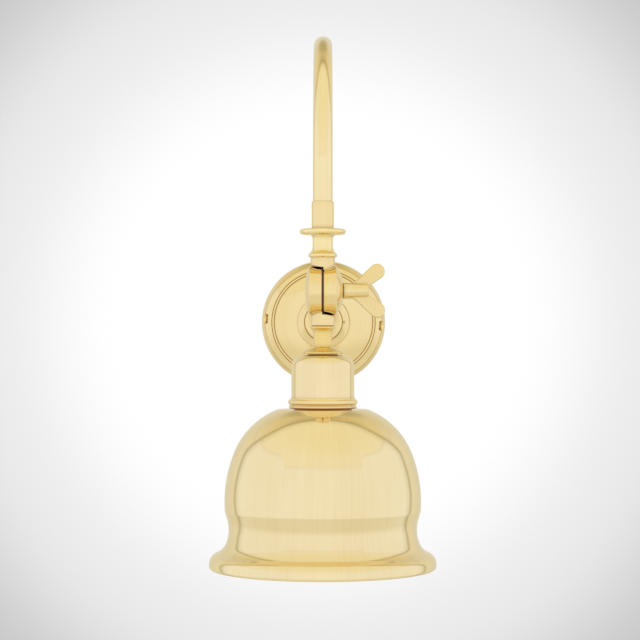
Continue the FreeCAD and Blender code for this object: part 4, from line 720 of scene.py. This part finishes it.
# ---------------------------------------------------------------------------------------------------
# Sub-assemblies
# ---------------------------------------------------------------------------------------------------
@dataclass
class WallRose:
    """The domed rose, its boss and screws, and what they hide."""

    finishes: Finishes
    turn: float = 3.5
    recess_diameter: float = 7.8
    recess_floor: float = 43.6
    recess_depth: float = -13.1
    outline: Outline = (
        (44.5, 0.0), (48.5, 0.0), (48.5, -2.0), (40.6, -18.413, -21.0), (40.3, -17.813), (38.3, -17.813, -1.1),
        (38.0, -18.213), (20.4, -23.6, -45.0), (6.4, -23.6), (6.4, -21.6), (20.0, -21.6), (37.3, -15.891, 45.0),
        (44.5, -2.0, 17.0))
    boss: Outline = (
        (6.4, 0.0), (20.0, 0.0), (20.0, -0.9), (15.0, -4.7, 7.0), (14.4, -4.3), (14.4, -7.6), (12.6, -9.4, -1.8),
        (6.4, -9.4))

    def _recess_cutters(self) -> list[bpy.types.Object]:
        """Return the two round cutters of the screw recesses, on the rose's level line."""
        cutters = []
        for side in (-1.0, 1.0):
            reach = 12.0
            outline = ((0.0, 0.0), (self.recess_diameter / 2.0, 0.0), (self.recess_diameter / 2.0, reach), (0.0, reach))
            spine = StraightSpine((side * self.recess_floor, self.recess_depth, 0.0), along=(side, 0.0, 0.0),
                                  across=(0.0, 1.0, 0.0))
            line = trace(outline, 1.0, 40.0)
            made = closed_grid_mesh("recess_cutter", carried(line, spine, 64), line)
            cutter = bpy.data.objects.new("recess_cutter", made)
            bpy.context.scene.collection.objects.link(cutter)
            cutters.append(cutter)
        return cutters

    def build_rose(self) -> bpy.types.Object:
        """Turn the rose, cut its two screw recesses and set it a little off level.

        Returns:
            The piece.
        """
        line = soften(trace(self.outline, 0.9, 400.0), 0.2)
        made = closed_grid_mesh("domed_rose", carried(line, from_wall(0.0), 224), line)
        piece = bpy.data.objects.new("domed_rose", made)
        bpy.context.scene.collection.objects.link(piece)
        cutters = self._recess_cutters()
        for cutter in cutters:
            cut = piece.modifiers.new("recess", "BOOLEAN")
            cut.object = cutter
            cut.operation = "DIFFERENCE"
            cut.solver = "EXACT"
        apply_modifiers(piece)
        for cutter in cutters:
            bpy.data.objects.remove(cutter)
        piece.data.transform(Matrix.Rotation(math.radians(self.turn), 4, "Y"))
        piece.data.shade_smooth()
        piece.data.set_sharp_from_angle(angle=math.radians(38.0))
        weighted = piece.modifiers.new("face_weighted", "WEIGHTED_NORMAL")
        weighted.keep_sharp = True
        dress(piece, Body.WALL_ARM, Slot.CAST_BRASS, self.finishes.rose, "wall_rose")
        return piece

    def build(self) -> None:
        """Build the rose, its boss and screws, and dress what lies behind."""
        finishes = self.finishes
        self.build_rose()
        Turned("stepped_boss", "arm_boss", self.boss, from_wall(-23.6), turns=144, edge=0.18, step=0.5).build(
            Body.WALL_ARM, Slot.TURNED_BRASS, finishes.of(Slot.TURNED_BRASS))
        screws = solid_copy("rose_side_screws", "rim_screws", 0.15)
        dress(screws, Body.WALL_ARM, Slot.SCREW_BRASS, finishes.of(Slot.SCREW_BRASS), "rose_side_screws")
        for node, slot in (("arm_grub_screw", Slot.SCREW_BRASS), ("earth_screw", Slot.SCREW_BRASS),
                           ("arm_back_nut", Slot.FITTING_BRASS), ("arm_lock_washer", Slot.ZINC_STEEL)):
            keep(node, finishes.of(slot))
        bracket = solid_copy("wall_bracket", "fixing_strap", 0.15)
        dress(bracket, Body.WALL_ARM, Slot.ZINC_STEEL, finishes.of(Slot.ZINC_STEEL), "wall_bracket")
        block = solid_copy("terminal_block", "supply_terminals", 0.25)
        dress(block, Body.WALL_ARM, Slot.NYLON, finishes.of(Slot.NYLON), "terminal_block")


@dataclass
class SwanNeckArm:
    """The bent tube with its ferrule and the drip collar that it stands in."""

    finishes: Finishes
    spine: SwanNeckSpine = field(default_factory=SwanNeckSpine)
    radius: float = 6.33
    wall: float = 1.0
    ferrule: Outline = ((6.4, 0.0), (7.15, 0.0), (7.15, 17.2), (6.75, 17.7), (6.4, 17.7))
    collar: Outline = (
        (3.2, -3.0), (4.9, -3.0), (4.9, 0.0), (8.439, 0.0), (8.7, 2.5, 1.4), (6.5, 7.3, -6.336), (6.5, 11.6),
        (9.7, 14.8, -3.2), (13.2, 14.8), (14.9, 16.5, 1.7), (13.2, 18.2, 1.7), (6.4, 18.2), (6.4, 13.7), (3.2, 13.7))

    def build(self) -> None:
        """Build the tube, the ferrule and the collar."""
        finishes = self.finishes
        length = self.spine.length()
        inner = self.radius - self.wall
        tube = ((inner, 0.0), (self.radius, 0.0), (self.radius, length), (inner, length))
        Turned("bent_tube", "swan_neck_arm", tube, self.spine, turns=56, edge=0.2, straight_step=1.6).build(
            Body.WALL_ARM, Slot.TUBE_BRASS, finishes.of(Slot.TUBE_BRASS))
        Turned("tube_ferrule", "arm_ferrule", self.ferrule, upright(57.3), turns=96, edge=0.1).build(
            Body.WALL_ARM, Slot.TUBE_BRASS, finishes.of(Slot.TURNED_BRASS))
        # The disc collar wears the paler copy of turned brass, a painted highlight.
        Turned("disc_collar", "drip_collar", self.collar, upright(39.1), edge=0.18, step=0.45).build(
            Body.WALL_ARM, Slot.TURNED_BRASS, finishes.disc)


@dataclass
class Knuckle:
    """The half-lapped joint: two drums on a stud, clamped by a wing nut."""

    finishes: Finishes
    edge: float = 0.25

    def build(self) -> None:
        """Round the edges of both halves and the wing nut, and dress the small pieces."""
        finishes = self.finishes
        for node, name, body in (("upper_knuckle", "upper_drum", Body.WALL_ARM),
                                 ("lower_knuckle", "lower_drum", Body.LAMP_HEAD)):
            dress(solid_copy(node, name, self.edge), body, Slot.TURNED_BRASS, finishes.plain_turned, node)
        nut = solid_copy("wing_nut", "winged_nut", 0.2)
        dress(nut, Body.CLAMP_NUT, Slot.CAST_BRASS, finishes.of(Slot.CAST_BRASS), "wing_nut")
        keep("pivot_stud", finishes.of(Slot.SCREW_BRASS))
        keep("pressure_washer", finishes.of(Slot.SCREW_BRASS))
        # The washer's dark fibre tone stands in for the shade in the lap between the drums.
        keep("friction_washer", finishes.fibre)


@dataclass
class CoverCup:
    """The neck collar, the cup over the lampholder and the beaded ring at its mouth."""

    finishes: Finishes
    collar: Outline = (
        (3.2, 3.0), (3.2, -13.8), (5.05, -13.8), (5.05, -19.2), (10.0, -19.2), (10.0, -18.2), (13.35, -18.2),
        (13.35, -17.2), (7.65, -14.2, 14.0), (6.05, -12.6, -1.6), (6.05, -5.0), (8.15, -2.0, -3.193),
        (8.15, -0.6, 0.84), (7.25, -0.6), (7.25, 0.0), (4.4, 0.0), (4.4, 3.0))
    cup: Outline = (
        (5.15, 0.0), (5.15, -1.0), (13.2, -1.0), (19.2, -7.0, -6.0), (19.2, -30.8), (20.2, -30.8), (20.2, -7.0),
        (13.2, 0.0, 7.0))
    ring: Outline = (
        (14.35, 0.0), (18.9, 0.0), (18.9, 0.6), (21.4, 0.6), (21.4, 2.5, 1.178), (21.2, 2.9), (21.45, 3.2),
        (21.45, 6.2, 1.8), (20.6, 7.6, -2.2), (20.25, 7.6), (20.25, 3.9), (18.8, 3.9), (18.8, 1.1), (14.35, 1.1))
    knurls: int = 132
    knurl_depth: float = 0.14

    def build_ring(self) -> bpy.types.Object:
        """Turn the ring and press its fine upright knurl into the bead.

        The bead's radius becomes r - d (1 - cos(N a)) / 2 between its two edges, where d is the knurl's
        depth, N the number of knurls and a the turn, and d fades to nothing at the edges.

        Returns:
            The piece.
        """
        turns = self.knurls * 6
        line = soften(trace(self.ring, 0.35, 400.0), 0.12)
        grid = carried(line, upright(-58.5), turns)
        on_bead = np.clip(1.0 - ((line[:, 1] - 4.7) / 1.45) ** 2, 0.0, 1.0) * (line[:, 0] > 21.0)
        angle = 2.0 * math.pi * np.arange(turns) / turns
        depth = self.knurl_depth * on_bead[None] * (1.0 - np.cos(self.knurls * angle))[:, None] / 2.0
        shrink = 1.0 - depth / line[None, :, 0]
        grid[..., 0] *= shrink
        grid[..., 1] = FRONT + (grid[..., 1] - FRONT) * shrink
        piece = add_object("beaded_ring", closed_grid_mesh("beaded_ring", grid, line))
        dress(piece, Body.LAMP_HEAD, Slot.TURNED_BRASS, self.finishes.of(Slot.TURNED_BRASS), "gallery_ring")
        return piece

    def build(self) -> None:
        """Build the collar, the cup and the ring."""
        finishes = self.finishes
        # The neck collar wears the deeper copy of turned brass, painted shade.
        Turned("neck_turning", "neck_collar", self.collar, upright(-4.6), edge=0.15, step=0.4).build(
            Body.LAMP_HEAD, Slot.TURNED_BRASS, finishes.neck)
        Turned("spun_cup", "cover_cup", self.cup, upright(-23.8), turns=160, edge=0.25, step=0.6).build(
            Body.LAMP_HEAD, Slot.SPUN_BRASS, finishes.cup)
        self.build_ring()


@dataclass
class BellShade:
    """The spun bell with its waist, flared lip and rolled hem."""

    finishes: Finishes
    outline: Outline = (
        (14.4, 0.0), (14.4, -1.0), (28.667, -1.0), (56.058, -27.894, -48.0), (62.15, -59.3, -84.0),
        (62.08, -62.36, -84.0), (61.567, -66.229, -13.8), (60.337, -70.629), (59.45, -77.0, 23.3),
        (61.271, -86.365, 25.0), (68.223, -93.317, 12.58), (72.05, -98.99, -6.116), (72.05, -99.5),
        (70.35, -100.2), (70.35, -102.0), (70.65, -102.3), (71.15, -102.3), (73.03, -100.4, 1.9),
        (73.03, -98.99), (68.598, -92.39, 7.116), (62.198, -85.99, -11.58), (60.45, -77.0, -24.0),
        (61.3, -70.9, -22.3), (62.62, -66.2), (62.98, -64.6, 5.0), (63.15, -59.3, 85.0),
        (56.986, -27.52, 85.0), (28.85, 0.0, 49.0))

    def build(self) -> None:
        """Turn the bell."""
        Turned("bell", "bell_shade", self.outline, upright(-58.5), turns=224, edge=0.35, step=1.1,
               straight_step=4.0).build(Body.LAMP_HEAD, Slot.SPUN_BRASS, self.finishes.of(Slot.SPUN_BRASS))


@dataclass
class Lampholder:
    """The bayonet lampholder in the cup, with its sprung contacts and the ring that clamps the shade."""

    finishes: Finishes

    def build_threaded(self, name: str, node: str, outline: Outline, level: float, thread: tuple[float, float],
                       pitch: float = 1.5, depth: float = 0.22) -> bpy.types.Object:
        """Turn a fitting whose outside has a screw thread.

        Within the thread the outer radius becomes r - d (1 - cos(a + 2 pi h / pitch)) / 2, a single
        start helix in the turn a and the height h, fading out at its two ends.

        Args:
            name: Piece name.
            node: The node that it replaces.
            outline: Its outline, mm.
            level: Level that heights are counted from, mm.
            thread: Lowest and highest height of the thread, mm.
            pitch: Thread pitch, mm.
            depth: Thread depth, mm.

        Returns:
            The piece.
        """
        line = soften(trace(outline, 0.5, 0.25), 0.12)
        turns = 96
        grid = carried(line, upright(level), turns)
        low, high = thread
        outside = line[:, 0] > max(corner[0] for corner in outline if low - 1 < corner[1] < high + 1) - 0.3
        fade = np.clip(np.minimum(line[:, 1] - low, high - line[:, 1]) / 0.8, 0.0, 1.0) * outside
        angle = 2.0 * math.pi * np.arange(turns) / turns
        wave = (1.0 - np.cos(angle[:, None] + 2.0 * math.pi * line[None, :, 1] / pitch)) / 2.0
        shrink = 1.0 - depth * fade[None] * wave / line[None, :, 0]
        grid[..., 0] *= shrink
        grid[..., 1] = FRONT + (grid[..., 1] - FRONT) * shrink
        piece = add_object(name, closed_grid_mesh(name, grid, line), 50.0)
        dress(piece, Body.LAMP_HEAD, Slot.FITTING_BRASS, self.finishes.of(Slot.FITTING_BRASS), node)
        return piece

    def build_spring(self, side: str) -> bpy.types.Object:
        """Copy a contact's spring, which flattens as its plunger is pushed in."""
        node = f"plunger_spring_{side}"
        piece = solid_copy(node, f"contact_spring_{side}", 0.0, flat=0.0)
        apply_modifiers(piece)
        dress(piece, Body.LAMP_HEAD, Slot.SPRING_STEEL, self.finishes.of(Slot.SPRING_STEEL), node)
        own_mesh(piece)
        return piece

    def build(self) -> None:
        """Build the skirt's thread and the springs, round the other fittings' edges, and dress the rest."""
        finishes = self.finishes
        brass = finishes.of(Slot.FITTING_BRASS)
        skirt = ((13.65, -14.5), (14.25, -14.5), (14.25, 1.1), (16.2, 1.1), (16.2, 2.1), (14.25, 2.1), (14.25, 6.4),
                 (12.2, 6.4), (12.2, 5.44), (13.65, 5.44))
        self.build_threaded("threaded_skirt", "lampholder_skirt", skirt, -58.5, (-14.3, -7.2))
        for node, name, bevel in (("shade_ring", "clamp_ring", 0.2), ("lampholder_barrel", "bayonet_barrel", 0.15),
                                  ("lampholder_cap", "holder_cap", 0.15)):
            dress(solid_copy(node, name, bevel), Body.LAMP_HEAD, Slot.FITTING_BRASS, brass, node)
        insulator = solid_copy("lampholder_insulator", "porcelain_core", 0.3)
        dress(insulator, Body.LAMP_HEAD, Slot.PORCELAIN, finishes.of(Slot.PORCELAIN), "lampholder_insulator")
        for side, sign, body in (("left", -1.0, Body.LEFT_PLUNGER), ("right", 1.0, Body.RIGHT_PLUNGER)):
            pin = solid_copy(f"contact_plunger_{side}", f"contact_pin_{side}", 0.1)
            dress(pin, body, Slot.FITTING_BRASS, brass, f"contact_plunger_{side}")
            self.build_spring(side)
        for node, slot in (("threaded_nipple", Slot.FITTING_BRASS), ("nipple_locknut", Slot.FITTING_BRASS),
                           ("holder_terminals", Slot.FITTING_BRASS), ("holder_terminal_screws", Slot.SCREW_BRASS)):
            keep(node, finishes.of(slot))


@dataclass
class Wiring:
    """The sheathed flex and its cores, all inside the metalwork."""

    finishes: Finishes

    def build(self) -> None:
        """Dress the flexes and the cores."""
        for node, slot in (("supply_flex", Slot.FLEX_SHEATH), ("lamp_flex", Slot.FLEX_SHEATH),
                           ("supply_cores", Slot.CORE_SHEATH)):
            keep(node, self.finishes.of(slot))


# ---------------------------------------------------------------------------------------------------
# Studio
# ---------------------------------------------------------------------------------------------------
@dataclass
class Studio:
    """A white tent in front, a warm ceiling, a pale backdrop, one soft lamp, a floor and the camera."""

    lens: float = 109.4
    camera_place: tuple[float, float, float] = (0.0026, -1.534, -0.0146)
    shift: tuple[float, float] = (-0.0107, 0.0328)
    floor_level: float = -0.45
    floor_radius: float = 0.9

    def _reflections(self, tree: bpy.types.NodeTree, split: bpy.types.Node) -> bpy.types.NodeSocket:
        """Lay out what polished metal sees, by direction (x, y, z).

        The white tent is in front, where y < 0.57, a little less low down and 0.33 overhead, and the
        backdrop is past it. Above z = 0.52 - 0.1 x^2 the tent gives way to a warm ceiling, whose edge steps
        up to 0.59 at the tent's side poles, |x| = 0.7. The tent darkens and warms towards its open side, the
        backdrop away from it, and everything a little below and to the sides. Each of these is a tint that
        comes in by one smooth step, and they multiply.

        Args:
            tree: The world's node tree.
            split: The direction's three parts.

        Returns:
            The colour.
        """
        x, y, z = split.outputs[0], split.outputs[1], split.outputs[2]
        high_rim = add(tree, "MapRange", {"interpolation_type": "SMOOTHSTEP"}, in0=z, in1=0.25, in2=0.8,
                       in3=0.57, in4=0.33).outputs[0]
        low_rim = add(tree, "MapRange", {"interpolation_type": "SMOOTHSTEP"}, in0=z, in1=-0.2, in2=0.0,
                      in3=-0.045, in4=0.0).outputs[0]
        rim = add(tree, "Math", {"operation": "ADD"}, in0=high_rim, in1=low_rim).outputs[0]
        beside = add(tree, "Math", {"operation": "SUBTRACT"}, in0=y, in1=rim).outputs[0]
        x_size = add(tree, "Math", {"operation": "ABSOLUTE"}, in0=x).outputs[0]
        x_square = add(tree, "Math", {"operation": "MULTIPLY"}, in0=x, in1=x).outputs[0]
        pole = add(tree, "MapRange", {"interpolation_type": "SMOOTHSTEP"}, in0=x_size, in1=0.69, in2=0.71,
                   in3=0.518, in4=0.638).outputs[0]
        edge = add(tree, "Math", {"operation": "MULTIPLY_ADD"}, in0=x_square, in1=-0.1, in2=pole).outputs[0]
        over = add(tree, "Math", {"operation": "SUBTRACT"}, in0=z, in1=edge).outputs[0]
        near_edge = add(tree, "Math", {"operation": "ABSOLUTE"}, in0=over).outputs[0]
        shares = {}
        for name, value, low, high in (("ceiling", over, -0.004, 0.004), ("higher", z, 0.5, 1.0),
                                       ("backdrop", beside, -0.012, 0.012), ("golden", z, 0.45, 0.8)):
            shares[name] = add(tree, "MapRange", {"interpolation_type": "SMOOTHSTEP"}, in0=value, in1=low,
                               in2=high, in3=0.0, in4=1.0).outputs[0]
        ceiling = add(tree, "MixRGB", in0=shares["higher"], in1=(0.97, 0.945, 0.82, 1.0), in2=(0.94, 0.89, 0.68, 1.0))
        front = add(tree, "MixRGB", in0=shares["ceiling"], in1=(0.98, 0.98, 0.97, 1.0), in2=ceiling.outputs[0])
        behind = add(tree, "MixRGB", in0=shares["golden"], in1=(0.98, 0.97, 0.94, 1.0), in2=(0.94, 0.85, 0.62, 1.0))
        every = add(tree, "MixRGB", in0=shares["backdrop"], in1=front.outputs[0], in2=behind.outputs[0]).outputs[0]
        high_behind = add(tree, "Math", {"operation": "MULTIPLY"}, in0=shares["backdrop"], in1=z).outputs[0]
        past_top = add(tree, "Math", {"operation": "MULTIPLY"}, in0=high_behind, in1=y).outputs[0]
        for value, low, high, tint in (
                (beside, -0.2, 0.0, (0.84, 0.81, 0.72)), (beside, -0.05, 0.0, (0.64, 0.63, 0.53)),
                (beside, 0.0, 0.06, (1.65, 1.66, 1.83)), (beside, 0.08, 0.4, (0.87, 0.85, 0.8)),
                (high_behind, 0.72, 0.95, (0.72, 0.72, 0.72)), (x_size, 0.0, 0.8, (0.975, 0.975, 0.975)),
                (past_top, 0.43, 0.49, (0.7, 0.71, 0.64)), (z, -0.16, -0.5, (0.87, 0.85, 0.76)),
                (near_edge, 0.02, 0.001, (0.88, 0.88, 0.86))):
            share = add(tree, "MapRange", {"interpolation_type": "SMOOTHSTEP"}, in0=value, in1=low, in2=high,
                        in3=0.0, in4=1.0).outputs[0]
            every = add(tree, "MixRGB", {"blend_type": "MULTIPLY"}, in0=share, in1=every,
                        in2=(*tint, 1.0)).outputs[0]
        return every

    def build_world(self) -> None:
        """Build the world: white behind the light with a soft vignette, a plain level, and reflections.

        The vignette is white times two smooth steps of the distance from the middle of the view.
        """
        world = bpy.data.worlds.new("studio")
        bpy.context.scene.world = world
        world.use_nodes = True
        tree = world.node_tree
        tree.nodes.clear()
        place = add(tree, "TexCoord").outputs["Generated"]
        split = add(tree, "SeparateXYZ", in0=place)
        middle = [shift * 36.0 / self.lens for shift in self.shift]
        centred = add(tree, "VectorMath", {"operation": "SUBTRACT"}, in0=place, in1=(middle[0], 1.0, middle[1]))
        flat = add(tree, "VectorMath", {"operation": "MULTIPLY"}, in0=centred.outputs[0], in1=(1.0, 0.0, 1.0))
        lean = add(tree, "VectorMath", {"operation": "LENGTH"}, in0=flat.outputs[0]).outputs["Value"]
        seen = (1.0, 1.0, 1.0, 1.0)
        for low, high, at_high in ((0.1, 0.175, 0.83), (0.165, 0.24, 0.69)):
            step = add(tree, "MapRange", {"interpolation_type": "SMOOTHSTEP"}, in0=lean, in1=low, in2=high,
                       in3=1.0, in4=at_high).outputs[0]
            seen = add(tree, "MixRGB", {"blend_type": "MULTIPLY"}, in0=1.0, in1=seen, in2=step).outputs[0]
        path = add(tree, "LightPath")
        level = add(tree, "MixRGB", in0=path.outputs["Is Glossy Ray"], in1=(0.8, 0.8, 0.8, 1.0),
                    in2=self._reflections(tree, split))
        direct = add(tree, "Math", {"operation": "MAXIMUM"}, in0=path.outputs["Is Camera Ray"],
                     in1=path.outputs["Is Transmission Ray"]).outputs[0]
        colour = add(tree, "MixRGB", in0=direct, in1=level.outputs[0], in2=seen)
        shader = add(tree, "Background", Color=colour.outputs[0], Strength=1.0)
        add(tree, "OutputWorld", Surface=shader.outputs[0])

    def build_floor(self) -> None:
        """Build the plain pale floor, a round sheet well under the shade; metal sees the world's level there."""
        made = bpy.data.meshes.new("floor")
        work = bmesh.new()
        bmesh.ops.create_circle(work, cap_ends=True, segments=96, radius=self.floor_radius,
                                matrix=Matrix.Translation((0.0, -0.1, self.floor_level)))
        work.to_mesh(made)
        work.free()
        floor = bpy.data.objects.new("floor", made)
        bpy.context.scene.collection.objects.link(floor)
        paint = MouldedFinish("pale_floor", "#efefed", "#ecece9", 0.8, 1.45, 6.0, 0.01).material()
        made.materials.append(paint)
        floor.visible_glossy = False

    def build_lamp(self) -> None:
        """Build one large soft lamp above and in front, out of sight of the metal."""
        light = bpy.data.lights.new("soft_box", "AREA")
        light.shape = "DISK"
        light.size = 1.4
        light.energy = 9.0
        lamp = bpy.data.objects.new("soft_box", light)
        bpy.context.scene.collection.objects.link(lamp)
        lamp.location = (-0.5, -1.1, 1.5)
        lamp.rotation_euler = (Vector((0.0, -0.2, -0.1)) - lamp.location).to_track_quat("-Z", "Y").to_euler()
        lamp.visible_glossy = False
        lamp.visible_camera = False

    def build_camera(self) -> None:
        """Build the level camera in front, its view shifted a little up and to the left."""
        data = bpy.data.cameras.new("camera")
        data.lens = self.lens
        data.sensor_width = 36.0
        data.shift_x, data.shift_y = self.shift
        camera = bpy.data.objects.new("camera", data)
        bpy.context.scene.collection.objects.link(camera)
        camera.location = self.camera_place
        camera.rotation_euler = (math.radians(90.0), 0.0, 0.0)
        bpy.context.scene.camera = camera

    def build(self) -> None:
        """Build everything round the light."""
        self.build_camera()
        self.build_world()
        self.build_floor()
        self.build_lamp()
        bpy.context.scene.view_settings.view_transform = "Standard"


def main() -> None:
    """Build the studio and every sub-assembly, in the order in which the light goes together."""
    logging.basicConfig(level=logging.INFO, format="%(message)s")
    Studio().build()
    finishes = Finishes()
    for assembly in (WallRose(finishes), SwanNeckArm(finishes), Knuckle(finishes), CoverCup(finishes),
                     BellShade(finishes), Lampholder(finishes), Wiring(finishes)):
        assembly.build()
        LOG.info("built %s", type(assembly).__name__)


if __name__ == "__main__":
    main()
